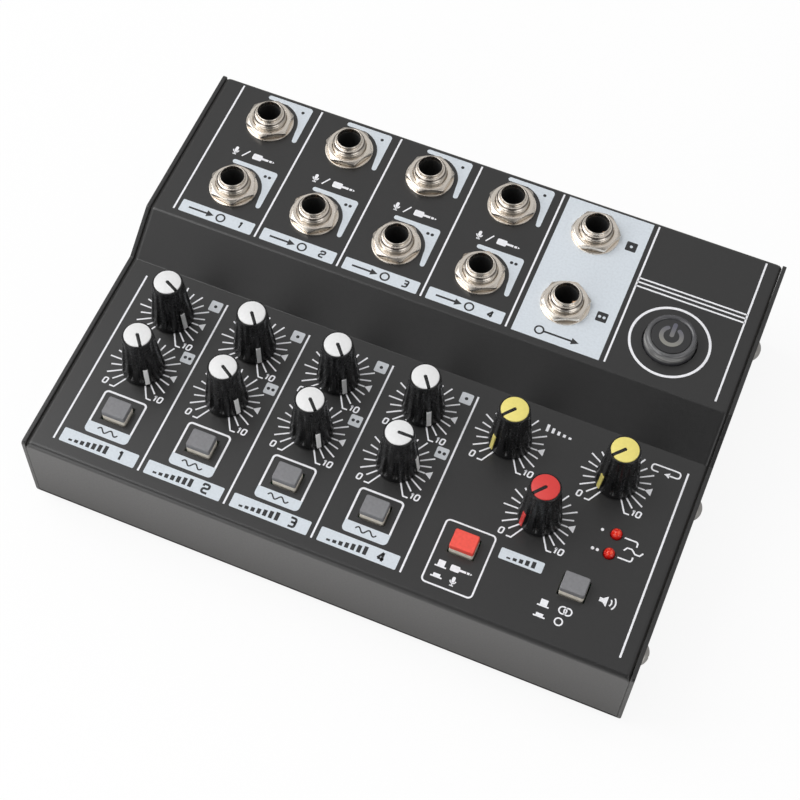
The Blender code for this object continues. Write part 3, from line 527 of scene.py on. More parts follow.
# Printed panel: lines and plates
# The panel is screen-printed in white and pale grey ink straight on the powder coat. Sizes are in millimetres,
# X from the panel's middle and Y from the front wall. Words are left off; plain signs and numbers stand there.
INK_RISE = 0.02
INK_SINK = 0.02
LINE = 0.55
INK_WHITE = (0.86, 0.86, 0.89)
INK_PALE = (0.66, 0.71, 0.76)
INK_GREY = (0.60, 0.62, 0.65)
INK_DARK = (0.030, 0.030, 0.032)
front_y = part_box("top_cover")[0].y
knob_joints = {joint["child"][:-5]: joint for joint in frame["joints"] if joint["child"].endswith("_knob")}
control_deck = knob_joints["main"]["pos_m"][2]


def ink_of(name, colour):
    """Matt printing ink, a little uneven as it comes through the screen."""
    ink = finish_of(name, colour, 0.55, {"Specular IOR Level": 0.35})
    thin = tuple(value * 0.93 for value in colour)
    shade_between(ink, spread(ink, grain(ink, 1400.0), 0.3, 0.6), thin, colour)
    emboss(ink, grain(ink, 3000.0), 0.00001)
    return ink


ink_white = ink_of("ink_white", INK_WHITE)
ink_pale = ink_of("ink_pale", INK_PALE)
ink_grey = ink_of("ink_grey", INK_GREY)
ink_dark = ink_of("ink_dark", INK_DARK)


def panel_point(x, y, z):
    """Point on the panel from millimetres."""
    return (x * MM, y * MM, z * MM)


def area(shape, outline, rise=INK_RISE):
    """Adds a printed area inside an outline as a thin solid."""
    high = [shape.verts.new(panel_point(x, y, rise)) for x, y in outline]
    low = [shape.verts.new(panel_point(x, y, -INK_SINK)) for x, y in outline]
    shape.faces.new(high)
    shape.faces.new(low[::-1])
    for i in range(len(outline)):
        j = (i + 1) % len(outline)
        shape.faces.new((low[i], low[j], high[j], high[i]))


def stroke(shape, points, width=LINE, closed=False, rise=INK_RISE):
    """Adds a printed line of even width along points as a thin solid."""
    path = [Vector(point) for point in points]
    count = len(path)
    rails = []
    for i, point in enumerate(path):
        normals = []
        for a, b in ((i - 1, i), (i, i + 1)):
            if closed or (a >= 0 and b < count):
                along = (path[b % count] - path[a % count]).normalized()
                normals.append(Vector((-along.y, along.x)))
        side = normals[0] if len(normals) == 1 else \
            (normals[0] + normals[1]) / max(0.3, 1 + normals[0].dot(normals[1]))
        corners = []
        for reach, level in ((width / 2, rise), (-width / 2, rise), (-width / 2, -INK_SINK), (width / 2, -INK_SINK)):
            corners.append(shape.verts.new(panel_point(*(point + side * reach), level)))
        rails.append(corners)
    for a, b in zip(rails, rails[1:] + ([rails[0]] if closed else [])):
        for i in range(4):
            shape.faces.new((a[i], b[i], b[(i + 1) % 4], a[(i + 1) % 4]))
    if not closed:
        shape.faces.new(rails[0])
        shape.faces.new(rails[-1][::-1])


def arc(centre, radius, start, end, steps=12):
    """Points along an arc between two angles in degrees."""
    turns = [math.radians(start + (end - start) * k / steps) for k in range(steps + 1)]
    return [(centre[0] + radius * math.cos(turn), centre[1] + radius * math.sin(turn)) for turn in turns]


def box_outline(low_x, low_y, high_x, high_y, radius):
    """Rectangle with rounded corners."""
    return (arc((high_x - radius, high_y - radius), radius, 0, 90, 6) +
            arc((low_x + radius, high_y - radius), radius, 90, 180, 6) +
            arc((low_x + radius, low_y + radius), radius, 180, 270, 6) +
            arc((high_x - radius, low_y + radius), radius, 270, 360, 6))


def printed(name, shape, ink, deck):
    """Lays a printed shape on a deck."""
    bmesh.ops.recalc_face_normals(shape, faces=shape.faces)
    mesh = bpy.data.meshes.new(name)
    shape.to_mesh(mesh)
    shape.free()
    mesh.materials.append(ink)
    piece = put(name, mesh, (0.0, front_y, deck))
    return ride_on(piece, "console")


columns = {channel: knob_joints[f"volume_{channel}a"]["pos_m"][0] / MM for channel in CHANNELS}
half_pitch = (columns["2"] - columns["1"]) / 2
master_left = knob_joints["delay"]["pos_m"][0] / MM
master_right = knob_joints["repeat"]["pos_m"][0] / MM
master_middle = knob_joints["main"]["pos_m"][0] / MM
knob_row = {"a": (knob_joints["delay"]["pos_m"][1] - front_y) / MM,
            "b": (knob_joints["main"]["pos_m"][1] - front_y) / MM}
socket_row = {row: (middle(f"input_1{row}_jack")[1] - front_y) / MM for row in "ab"}
button_row = (middle("input_button")[1] - front_y) / MM

CONTROL_LINES = (4.8, 63.2)
SOCKET_LINES = (82.6, 132.25)
PANEL_RIGHT = 84.0
POWER_LEFT = 51.5
separators = [columns["1"] - half_pitch] + [x + half_pitch for x in columns.values()]
lines = bmesh.new()
for x in separators + [PANEL_RIGHT]:
    stroke(lines, [(x, CONTROL_LINES[0]), (x, CONTROL_LINES[1])])
printed("control_lines", lines, ink_white, control_deck)
lines = bmesh.new()
for x in separators + [POWER_LEFT, PANEL_RIGHT]:
    stroke(lines, [(x, SOCKET_LINES[0]), (x, SOCKET_LINES[1])])
for y in (113.1, 111.7, 110.25):
    stroke(lines, [(POWER_LEFT, y), (PANEL_RIGHT, y)], 0.5)
power_row = (middle("power_button")[1] - front_y) / MM
stroke(lines, arc((master_right, power_row), 11.37, 0, 357, 119), 0.75, closed=True)
printed("socket_lines", lines, ink_white, jack_deck)

BAND_TOP = 13.75
plates = bmesh.new()
for x in columns.values():
    area(plates, box_outline(x - 11.5, 4.83, x + 11.5, 9.17, 0.4))
    area(plates, [(x + 6.65, BAND_TOP), (x - 6.65, BAND_TOP)] + arc((x - 5.3, 11.65), 1.35, 180, 270, 6) +
         arc((x + 5.3, 11.65), 1.35, 270, 360, 6))
area(plates, box_outline(44.5, 19.06, 56.9, 22.4, 0.4))
printed("control_plates", plates, ink_pale, control_deck)
plates = bmesh.new()
for x in columns.values():
    area(plates, box_outline(x - 11.6, 82.6, x + 11.6, 86.8, 0.4))
OUT_PLATE = (23.7, 82.4, 49.9, 132.25)
OUT_CLEAR = 6.0               # the plate is left open under the washers of the two outputs
low_x, low_y, high_x, high_y = OUT_PLATE
area(plates, [(master_left, high_y), (low_x, high_y), (low_x, low_y), (master_left, low_y)] +
     arc((master_left, socket_row["b"]), OUT_CLEAR, 270, 90) + arc((master_left, socket_row["a"]), OUT_CLEAR, 270, 90))
area(plates, [(master_left, low_y), (high_x, low_y), (high_x, high_y), (master_left, high_y)] +
     arc((master_left, socket_row["a"]), OUT_CLEAR, 90, -90) + arc((master_left, socket_row["b"]), OUT_CLEAR, 90, -90))
FLAG_RIGHT, FLAG_TOP, FLAG_LEFT, FLAG_LOW, FLAG_BAND, FLAG_CLEAR = 10.25, 9.6, -3.6, -4.2, 1.45, 8.4
for x in columns.values():
    for y in socket_row.values():
        right, top = x + FLAG_RIGHT, y + FLAG_TOP
        steep = math.degrees(math.asin((FLAG_TOP - FLAG_BAND) / FLAG_CLEAR))
        shallow = math.degrees(math.acos((FLAG_RIGHT - FLAG_BAND) / FLAG_CLEAR)) \
            if FLAG_RIGHT - FLAG_BAND < FLAG_CLEAR else 0.0
        outline = arc((right - 1.0, top - 1.0), 1.0, 0, 90, 6)
        outline += arc((x + FLAG_LEFT, top - FLAG_BAND / 2), FLAG_BAND / 2, 90, 270, 8)
        outline += arc((x, y), FLAG_CLEAR, steep, shallow, 16)
        outline += arc((right - FLAG_BAND / 2, y + FLAG_LOW + FLAG_BAND / 2), FLAG_BAND / 2, 180, 360, 8)
        area(plates, outline)
printed("socket_plates", plates, ink_pale, jack_deck)

frames = bmesh.new()
for x in columns.values():
    stroke(frames, [(x + 6.35, BAND_TOP)] + arc((x + 5.3, 23.1), 1.05, 0, 90, 6) +
           arc((x - 5.3, 23.1), 1.05, 90, 180, 6) + [(x - 6.35, BAND_TOP)], 0.6)
stroke(frames, box_outline(27.9, 5.0, 42.2, 24.56, 1.2), 0.5, closed=True)
for y, drop in ((37.9, -1.5), (31.7, 1.5)):
    bend = arc((77.25, y + math.copysign(0.7, drop)), 0.7, -90 if drop > 0 else 90, 0, 6)
    stroke(frames, [(74.1, y)] + bend + [(77.95, y + drop)], 0.45)
printed("control_frames", frames, ink_white, control_deck)

# Printed panel: dials
# Round every knob runs a printed scale from 0 to 10: twenty-one marks, a triangle at the usual setting, and
# leaders that bend to the two numbers.
DIAL_START = 240.0
DIAL_STEP = 15.0
DIAL_MARKS = 21
MARK_INNER = 6.0
MARK_LONG = 10.45
MARK_SHORT = 9.4
MARK_WIDTH = 0.44
LEADER = 1.4
POINT_APEX, POINT_BASE, POINT_HALF = 8.05, 9.98, 1.22
NUMBER_HEIGHT = 2.2
DIGITS = {"0": [([(0, 0), (1, 0), (1, 1), (0, 1)], True)],
          "1": [([(0.2, 0.75), (0.55, 1.0), (0.55, 0.0)], False)],
          "2": [([(0, 0.74), (0, 1), (1, 1), (1, 0.5), (0, 0.5), (0, 0), (1, 0)], False)],
          "3": [([(0, 1), (1, 1), (1, 0), (0, 0)], False), ([(0.25, 0.52), (1, 0.52)], False)],
          "4": [([(0.75, 0), (0.75, 1), (0, 0.28), (1.05, 0.28)], False)]}


def eased(points, radius, closed):
    """Path with its corners rounded."""
    if closed:
        path = softened(points + points[:2], radius, 4)
        return path[1:-1]
    return softened(points, radius, 4)


def digit(shape, number, centre, height, slant=0.0, rise=INK_RISE):
    """Adds a plain number in strokes about a centre."""
    width, pen = 0.72 * height, 0.2 * height
    step = 0.67 * height
    start = centre[0] - step * (len(number) - 1) / 2
    for k, figure in enumerate(number):
        for points, closed in DIGITS[figure]:
            path = [((u - 0.5) * (width - pen), (v - 0.5) * (height - pen)) for u, v in points]
            path = eased(path, 0.0 if figure in "14" else 0.22 * height, closed)
            stroke(shape, [(start + k * step + u + slant * v, centre[1] + v) for u, v in path], pen, closed, rise)


def polar(centre, radius, angle):
    turn = math.radians(angle)
    return (centre[0] + radius * math.cos(turn), centre[1] + radius * math.sin(turn))


for name, joint in knob_joints.items():
    centre = (joint["pos_m"][0] / MM, (joint["pos_m"][1] - front_y) / MM)
    dial = bmesh.new()
    for k in range(DIAL_MARKS):
        angle = DIAL_START - DIAL_STEP * k
        if k in (0, DIAL_MARKS - 1):
            end = polar(centre, 10.2, angle)
            turn_off = (end[0] + math.copysign(LEADER, k - 1), end[1])
            stroke(dial, [polar(centre, MARK_INNER, angle), end, turn_off], MARK_WIDTH)
        elif angle == 0.0:
            stroke(dial, [polar(centre, MARK_INNER, angle), polar(centre, POINT_APEX, angle)], MARK_WIDTH)
            area(dial, [polar(centre, POINT_APEX, angle), (centre[0] + POINT_BASE, centre[1] - POINT_HALF),
                        (centre[0] + POINT_BASE, centre[1] + POINT_HALF)])
        else:
            reach = MARK_LONG if k % 2 == 0 else MARK_SHORT
            stroke(dial, [polar(centre, MARK_INNER, angle), polar(centre, reach, angle)], MARK_WIDTH)
    digit(dial, "0", (centre[0] - 8.2, centre[1] - 7.84), NUMBER_HEIGHT, 0.15)
    digit(dial, "10", (centre[0] + 8.15, centre[1] - 7.84), NUMBER_HEIGHT, 0.15)
    printed(f"dial_{name}", dial, ink_white, control_deck)

# Printed panel: signs
# Plain signs tell the controls apart: pips for the two rows, rising bars for level, arrows into and out of rings at
# the sockets, bars that die away for delay, a loop for repeat, rings for stereo and mono, push marks at the switches.
LAYER = 2 * INK_RISE


def pips(shape, count, centre, pitch=1.35, radius=0.46, rise=INK_RISE):
    """Adds one or two round pips."""
    for k in range(count):
        x = centre[0] + (k - (count - 1) / 2) * pitch
        area(shape, arc((x, centre[1]), radius, 0, 345, 23), rise)


def bars(shape, start, heights, pitch=1.75, width=1.1, rise=INK_RISE):
    """Adds a row of upright bars."""
    for k, height in enumerate(heights):
        x = start[0] + pitch * k
        area(shape, [(x, start[1]), (x + width, start[1]), (x + width, start[1] + height), (x, start[1] + height)], rise)


def arrow(shape, start, end, pen, rise=INK_RISE):
    """Adds an arrow to the right, from its tail to its tip."""
    neck = end[0] - 2.2
    area(shape, [(start[0], start[1] - pen / 2), (neck, end[1] - pen / 2), (neck, end[1] - 1.1), end,
                 (neck, end[1] + 1.1), (neck, end[1] + pen / 2), (start[0], start[1] + pen / 2)], rise)


def ripple(shape, centre, length, height, waves, pen, rise=INK_RISE):
    """Adds a wavy line."""
    points = [(centre[0] + length * (k / 36 - 0.5),
               centre[1] + height / 2 * math.sin(2 * math.pi * waves * k / 36)) for k in range(37)]
    stroke(shape, points, pen, rise=rise)


def microphone(shape, centre, height, pen=0.32):
    """Adds a microphone on its stand."""
    x, y = centre
    radius = height * 0.17
    area(shape, arc((x, y + height * 0.33), radius, 0, 180) + arc((x, y + height * 0.02), radius, 180, 360))
    stroke(shape, arc((x, y + height * 0.05), height * 0.3, 180, 360), pen)
    stroke(shape, [(x, y - height * 0.25), (x, y - height * 0.5)], pen)
    stroke(shape, [(x - height * 0.2, y - height * 0.5), (x + height * 0.2, y - height * 0.5)], pen)


def plug(shape, centre, length, pen=0.5):
    """Adds a phone plug lying on its side."""
    x, y = centre
    area(shape, box_outline(x - length / 2, y - length * 0.15, x - length * 0.08, y + length * 0.15, length * 0.06))
    stroke(shape, [(x - length * 0.08, y), (x + length * 0.22, y)], pen * 1.3)
    stroke(shape, [(x + length * 0.26, y), (x + length * 0.38, y)], pen * 1.3)
    area(shape, [(x + length * 0.42, y - pen * 0.65), (x + length * 0.5, y), (x + length * 0.42, y + pen * 0.65)])


def push_mark(shape, centre, height):
    """Adds a button seen from its side, standing out of the panel or pushed in."""
    x, y = centre
    area(shape, [(x - 1.0, y + 0.2), (x + 1.0, y + 0.2), (x + 1.0, y + height), (x - 1.0, y + height)])
    stroke(shape, [(x - 1.65, y), (x + 1.65, y)], 0.42)


signs = bmesh.new()
badges = bmesh.new()
marks = bmesh.new()
for x in columns.values():
    for row, count in (("a", 1), ("b", 2)):
        centre = (x + 10.05, knob_row[row] + 7.65)
        area(badges, box_outline(centre[0] - 1.78, centre[1] - 1.78, centre[0] + 1.78, centre[1] + 1.78, 0.45))
        pips(marks, count, centre, 1.4, 0.5, LAYER)
    ripple(marks, (x, 12.17), 6.2, 1.3, 2, 0.42, LAYER)
for channel, x in columns.items():
    bars(marks, (x - 9.0, 5.75), [0.6 + 0.32 * k for k in range(7)], rise=LAYER)
    digit(marks, channel, (x + 6.6, 7.0), 3.3, rise=LAYER)
bars(marks, (master_middle - 4.05, 19.75), [0.5 + 0.36 * k for k in range(5)], rise=LAYER)
for x, y, count in ((67.7, 37.9, 1), (67.7, 31.7, 2)):
    pips(signs, count, (x, y))
stroke(signs, [(75.0, 34.25), (75.7, 35.35), (77.0, 35.35), (78.2, 34.25), (79.5, 34.25), (80.2, 35.35)], 0.42)
bars(signs, (43.0, 60.4), [2.3 * 0.74 ** k for k in range(5)], 1.7, 0.8)
loop = softened([(76.2, 60.45), (74.0, 60.45), (74.0, 62.5), (82.2, 62.5), (82.2, 60.45), (79.2, 60.45)], 1.0, 6)
stroke(signs, loop, 0.45)
area(signs, [(79.4, 59.6), (79.4, 61.3), (77.8, 60.45)])
for x in (31.3, 60.5):
    push_mark(signs, (x, 10.6), 1.95)
    push_mark(signs, (x, 7.4), 1.0)
plug(signs, (37.0, 11.5), 6.2)
microphone(signs, (36.0, 7.9), 2.7)
for x in (65.8, 67.2):
    stroke(signs, arc((x, 11.5), 1.05, 0, 345, 23), 0.4, closed=True)
stroke(signs, arc((65.8, 8.0), 1.05, 0, 345, 23), 0.4, closed=True)
area(signs, [(73.6, 17.8), (74.6, 17.8), (75.8, 16.8), (75.8, 20.0), (74.6, 19.0), (73.6, 19.0)])
for radius in (1.4, 2.5):
    stroke(signs, arc((75.6, 18.4), radius, -42, 42, 8), 0.4)
printed("control_signs", signs, ink_white, control_deck)
printed("control_badges", badges, ink_grey, control_deck)
printed("control_marks", marks, ink_dark, control_deck)

signs = bmesh.new()
badges = bmesh.new()
marks = bmesh.new()
pale_pips = bmesh.new()
for channel, x in columns.items():
    arrow(marks, (x - 9.0, 84.7), (x - 1.0, 84.7), 0.6, LAYER)
    stroke(marks, arc((x + 1.2, 84.7), 1.25, 0, 345, 23), 0.5, closed=True, rise=LAYER)
    digit(marks, channel, (x + 7.6, 84.7), 2.6, 0.15, LAYER)
    microphone(signs, (x - 5.0, 109.0), 2.8, 0.36)
    stroke(signs, [(x - 2.6, 107.7), (x - 0.9, 110.3)], 0.42)
    plug(signs, (x + 4.0, 109.0), 7.0, 0.55)
    for row, count in (("a", 1), ("b", 2)):
        pips(marks, count, (x + 7.7, socket_row[row] + 7.2), 1.35, 0.5, LAYER)
for row, count in (("a", 1), ("b", 2)):
    centre = (master_left + 11.1, socket_row[row] - 0.1)
    area(badges, box_outline(centre[0] - 1.62, centre[1] - 1.62, centre[0] + 1.62, centre[1] + 1.62, 0.35), LAYER)
    pips(pale_pips, count, centre, rise=2 * LAYER)
stroke(marks, arc((31.2, 85.3), 1.25, 0, 345, 23), 0.5, closed=True, rise=LAYER)
arrow(marks, (32.6, 85.3), (43.0, 85.3), 0.6, LAYER)
printed("socket_signs", signs, ink_white, jack_deck)
printed("socket_badges", badges, ink_dark, jack_deck)
printed("socket_marks", marks, ink_dark, jack_deck)
printed("socket_badge_pips", pale_pips, ink_pale, jack_deck)

# Clip lamps
# Two 3 mm lamps of red-tinted epoxy, pushed up through the deck from spacers on the board: a clear dome on a
# short cylinder, coloured with painted light: bright in the middle where light would pool inside, deep at the rim.
LAMP_DEEP = (0.60, 0.006, 0.005)
LAMP_BRIGHT = (1.0, 0.12, 0.06)


def product(finish, first, second):
    """Two factors multiplied."""
    tree = finish.node_tree
    times = tree.nodes.new("ShaderNodeMath")
    times.operation = "MULTIPLY"
    tree.links.new(first, times.inputs[0])
    tree.links.new(second, times.inputs[1])
    return times.outputs["Value"]


lamp_epoxy = finish_of("lamp_epoxy", LAMP_BRIGHT, 0.12,
                       {"Specular IOR Level": 0.5, "Subsurface Weight": 0.7, "Subsurface Scale": 1.6 * MM,
                        "Subsurface Radius": (1.0, 0.12, 0.08)})
LAMP = 1.55 * MM
# painted light: the dome is coloured bright in the middle, where light would pool inside, and deep red at its rim
painted_pooled_light = product(lamp_epoxy, spread(lamp_epoxy, off_axis(lamp_epoxy), 0.5 * LAMP, 0.98 * LAMP, 1.0, 0.0),
                 spread(lamp_epoxy, grain(lamp_epoxy, 1500.0), 0.42, 0.58, 0.1, 1.0))
shade_between(lamp_epoxy, painted_pooled_light, LAMP_DEEP, LAMP_BRIGHT)
LAMP_TOP = 1.8 * MM
dome = [(0.0, -12.0 * MM), (LAMP, -12.0 * MM), (LAMP, LAMP_TOP - LAMP)]
dome += [(LAMP * math.cos(math.radians(a)), LAMP_TOP - LAMP + LAMP * math.sin(math.radians(a)))
         for a in range(9, 90, 9)]
dome.append((0.0, LAMP_TOP))
lamp_mesh = mesh_of("lamp", turned(dome, 40), lamp_epoxy, 50.0)
for row in "ab":
    x, y, _, _ = middle(f"clip_led_{row}")
    ride_on(put(f"lamp_{row}", lamp_mesh, (x, y, control_deck)), "console", [f"clip_led_{row}"])

# Push buttons
# Six latching switches: an ivory plunger comes up through a window in the deck and carries a snap-on cap with
# soft edges, satin grey for the effects and the output, red for the input.
PLUNGER = (6.95 * MM, 5.55 * MM)
PLUNGER_TOP = 1.75 * MM
CAP = (7.05 * MM, 5.65 * MM)
CAP_TOP = 3.5 * MM
CAP_GREY = (0.215, 0.215, 0.225)
CAP_RED = (0.92, 0.094, 0.067)


def moulding(name, colour, roughness, speck=0.9):
    """Injection-moulded plastic with a fine spark-eroded skin."""
    plastic = finish_of(name, colour, roughness)
    shade_between(plastic, spread(plastic, grain(plastic, 1100.0), 0.35, 0.65),
                  tuple(value * speck for value in colour), colour)
    roughen(plastic, grain(plastic, 2500.0), roughness - 0.06, roughness + 0.08)
    emboss(plastic, grain(plastic, 5000.0), 0.000012)
    return plastic


ivory = moulding("ivory_plastic", (0.95, 0.89, 0.78), 0.45)
button_plastic = {"grey": moulding("button_grey_plastic", CAP_GREY, 0.45),
                  "red": moulding("button_red_plastic", CAP_RED, 0.38)}


def tapered_block(size, low, high, edge, corner, draft=0.0):
    """Upright block with rounded corners, a rounded top edge and a little draft."""
    rings = []
    levels = [(0.0, low)] + [(edge * (1 - math.cos(math.radians(a))), high - edge * (1 - math.sin(math.radians(a))))
                             for a in range(0, 91, 15)]
    for inset, level in levels:
        lean = inset + draft * (level - low) / (high - low)
        half_x, half_y = size[0] / 2 - lean, size[1] / 2 - lean
        radius = max(corner - inset * 0.5, 0.0001)
        outline = box_outline(-half_x, -half_y, half_x, half_y, radius)
        rings.append([(x, y, level) for x, y in outline])
    return bridged(rings)


plunger_mesh = mesh_of("plunger", tapered_block(PLUNGER, -4.5 * MM, PLUNGER_TOP, 0.15 * MM, 0.5 * MM), ivory, 60.0)
BUTTONS = {**{f"effects_button_{channel}": "grey" for channel in CHANNELS},
           "input_button": "red", "stereo_button": "grey"}
cap_meshes = {colour: mesh_of(f"button_cap_{colour}", tapered_block(CAP, PLUNGER_TOP, CAP_TOP, 0.3 * MM, 0.5 * MM,
                                                                   0.08 * MM), plastic, 60.0)
              for colour, plastic in button_plastic.items()}
for name, colour in BUTTONS.items():
    x, y, _, _ = middle(name)
    cap = even_shading(put(f"{name}_cap", cap_meshes[colour], (x, y, control_deck)))
    ride_on(cap, name, [name])
    stem = even_shading(put(f"{name}_plunger", plunger_mesh, (x, y, control_deck)))
    ride_on(stem, name)

# Knobs
# Eleven push-on knobs moulded in glossy black plastic, tapered, with twelve deep straight flutes that run out in
# spoon-shaped feet. A coloured bar is let into the side, and a coloured cap is pressed round a key in the top.
KNOB_LIFT = 0.4 * MM
FOOT_RADIUS = 6.2 * MM
HEAD_RADIUS = 4.3 * MM
HEAD = 17.7 * MM
RIM_ROUND = 0.14 * MM
FLUTES = 12
FLUTE_HALF = 8.2              # degrees to either side
FLUTE_FLOOR = [(1.5, 6.08), (1.8, 5.78), (2.2, 5.38), (2.8, 5.08), (3.8, 4.88), (5.4, 4.7), (8.5, 4.56), (17.0, 4.31)]
FLUTE_SPOON = 1.3 * MM        # height of the rounded foot
CAP_RADIUS = 3.85 * MM
CAP_SEAT = 16.5 * MM
CAP_HIGH = 18.0 * MM
KNOB_STEPS = 240
SHAFT = 3.0 * MM
CAP_COLOURS = {"white": (0.79, 0.79, 0.79), "yellow": (0.83, 0.72, 0.20), "red": (0.69, 0.048, 0.043)}
knob_plastic = finish_of("knob_plastic", (0.0100, 0.0100, 0.0105), 0.28, {"Specular IOR Level": 0.42})
roughen(knob_plastic, grain(knob_plastic, 700.0), 0.25, 0.31)


def knob_wall(height):
    """Radius of the ribs at a height above the deck."""
    return FOOT_RADIUS + (HEAD_RADIUS - FOOT_RADIUS) * (height - KNOB_LIFT) / (HEAD - KNOB_LIFT)


def flute_floor(height):
    """Radius of the flutes' floors at a height above the deck."""
    for (low, radius), (high, following) in zip(FLUTE_FLOOR, FLUTE_FLOOR[1:]):
        if low * MM <= height <= high * MM:
            return (radius + (following - radius) * (height / MM - low) / (high - low)) * MM
    return knob_wall(height)


def knob_ring(height):
    """Outline of the fluted knob at a height."""
    wall = knob_wall(height)
    depth = max(0.0, wall - flute_floor(height))
    risen = min(1.0, max(0.0, (height - FLUTE_FLOOR[0][0] * MM) / FLUTE_SPOON))
    half = FLUTE_HALF * math.sqrt(1 - (1 - risen) ** 2) + 0.01
    ring = []
    for i, (x, y, _) in enumerate(round_ring(1.0, height, KNOB_STEPS)):
        pitch = 360.0 / FLUTES
        off_flute = abs((360.0 * i / KNOB_STEPS) % pitch - pitch / 2)
        reach = wall - depth * max(0.0, 1 - (off_flute / half) ** 2) ** 0.75
        ring.append((x * reach, y * reach, height))
    return ring


heights = [KNOB_LIFT + 0.15 * MM] + [(1.4 + 0.12 * k) * MM for k in range(21)]
heights += [height * MM for height in (4.6, 5.4, 6.6, 8.5, 11.0, 14.0, 16.2, 17.0, 17.2)] + [HEAD - RIM_ROUND]
fluted = bridged([round_ring(FOOT_RADIUS - 0.15 * MM, KNOB_LIFT, KNOB_STEPS)] + [knob_ring(height) for height in heights] +
                 [round_ring(HEAD_RADIUS - RIM_ROUND, HEAD, KNOB_STEPS),
                  round_ring(CAP_RADIUS + 0.03 * MM, HEAD, KNOB_STEPS),
                  round_ring(CAP_RADIUS + 0.03 * MM, CAP_SEAT, KNOB_STEPS)])
knob_mesh = mesh_of("knob_body", fluted, knob_plastic, 40.0)
shaft_mesh = mesh_of("pot_shaft", turned([(0.0, -9.5 * MM), (SHAFT, -9.5 * MM), (SHAFT, KNOB_LIFT + 0.1 * MM),
                                          (0.0, KNOB_LIFT + 0.1 * MM)], 32), moulded_black)
SLOT_HALF = 0.5 * MM
key_reach = CAP_RADIUS + 0.15 * MM
key_block = rounded_block((key_reach, 2 * SLOT_HALF - 0.04 * MM, CAP_HIGH - CAP_SEAT), 0.08 * MM, 2)
bmesh.ops.translate(key_block, verts=key_block.verts, vec=(key_reach / 2 - 0.3 * MM, 0, (CAP_HIGH + CAP_SEAT) / 2))
key_mesh = mesh_of("knob_key", key_block, knob_plastic, 40.0)
POINTER_HALF = 0.65 * MM
POINTER_LOW = 0.95 * MM
POINTER_TOP = 7.35 * MM
POINTER_PROUD = 0.2 * MM
POINTER_SOFT = 0.1 * MM
POINTER_WHITE_LIT = (0.90, 0.90, 0.90)


def pointer_bar():
    """Coloured bar let into the knob's side, from its foot to two fifths of its height."""
    rings = []
    for height in (POINTER_LOW, POINTER_TOP):
        out = knob_wall(height) + POINTER_PROUD
        section = [(out - 1.5 * MM, -POINTER_HALF), (out - POINTER_SOFT, -POINTER_HALF),
                   (out, -POINTER_HALF + POINTER_SOFT), (out, POINTER_HALF - POINTER_SOFT),
                   (out - POINTER_SOFT, POINTER_HALF), (out - 1.5 * MM, POINTER_HALF)]
        rings.append([(x, y, height) for x, y in section])
    return bridged(rings)


def slotted_cap():
    """Round cap with a rounded rim and a slot from its middle to its edge, along +X."""
    opening = math.degrees(math.asin(SLOT_HALF / CAP_RADIUS))
    rings = []
    for inset, level in ((0.0, CAP_SEAT), (0.0, CAP_HIGH - 0.3 * MM), (0.09 * MM, CAP_HIGH - 0.09 * MM),
                         (0.3 * MM, CAP_HIGH)):
        outline = arc((0.0, 0.0), CAP_RADIUS - inset, opening, 360 - opening, 72) + arc((0, 0), SLOT_HALF, 270, 90, 10)
        rings.append([(x, y, level) for x, y in outline])
    return bridged(rings)


cap_plastic = {colour: moulding(f"cap_{colour}_plastic", value, 0.38, 0.96) for colour, value in CAP_COLOURS.items()}
knob_caps = {colour: mesh_of(f"knob_cap_{colour}", slotted_cap(), plastic, 40.0)
             for colour, plastic in cap_plastic.items()}
# painted light: the white pointers are coloured lighter than the white caps, to make up for the light their upright
# faces miss
pointer_plastic = {**cap_plastic, "white": moulding("pointer_white_lit_plastic", POINTER_WHITE_LIT, 0.38, 0.96)}
pointers = {colour: mesh_of(f"pointer_{colour}", pointer_bar(), plastic, 30.0)
            for colour, plastic in pointer_plastic.items()}
colour_of = {"delay": "yellow", "repeat": "yellow", "main": "red"}
DIAL_END = DIAL_START - DIAL_STEP * (DIAL_MARKS - 1)
for name, joint in knob_joints.items():
    colour = colour_of.get(name, "white")
    place = joint["pos_m"]
    setting = DIAL_END + joint["range_deg"][1]
    body = f"{name}_knob"
    ride_on(put(f"{name}_fluted", knob_mesh, place, setting), body, [body])
    ride_on(put(f"{name}_key", key_mesh, place, setting), body)
    ride_on(put(f"{name}_shaft", shaft_mesh, place, setting), body)
    ride_on(put(f"{name}_pointer", pointers[colour], place, setting), body)
    ride_on(put(f"{name}_disc", knob_caps[colour], place, setting), body, [f"{name}_cap"])

# Power button
# A round push button of smoky translucent plastic with a rolled rim, which lights up in use; the daylight gathering in
# its front wall is painted into its colour. A dark printed disc lies in its top, with the usual on sign left clear.
BUTTON_RADIUS = 7.3 * MM
BUTTON_FLARE = 7.6 * MM
BUTTON_TOP = 3.6 * MM
DISC_RADIUS = 5.6 * MM
DISC_TOP = 3.2 * MM
SMOKE_DARK = (0.060, 0.060, 0.066)
SMOKE_PAINTED_GLOW = (0.62, 0.62, 0.60)


def position(finish, axis):
    """One coordinate of the piece's own space, in metres."""
    tree = finish.node_tree
    place = tree.nodes.new("ShaderNodeTexCoord")
    split = tree.nodes.new("ShaderNodeSeparateXYZ")
    tree.links.new(place.outputs["Object"], split.inputs["Vector"])
    return split.outputs[axis]


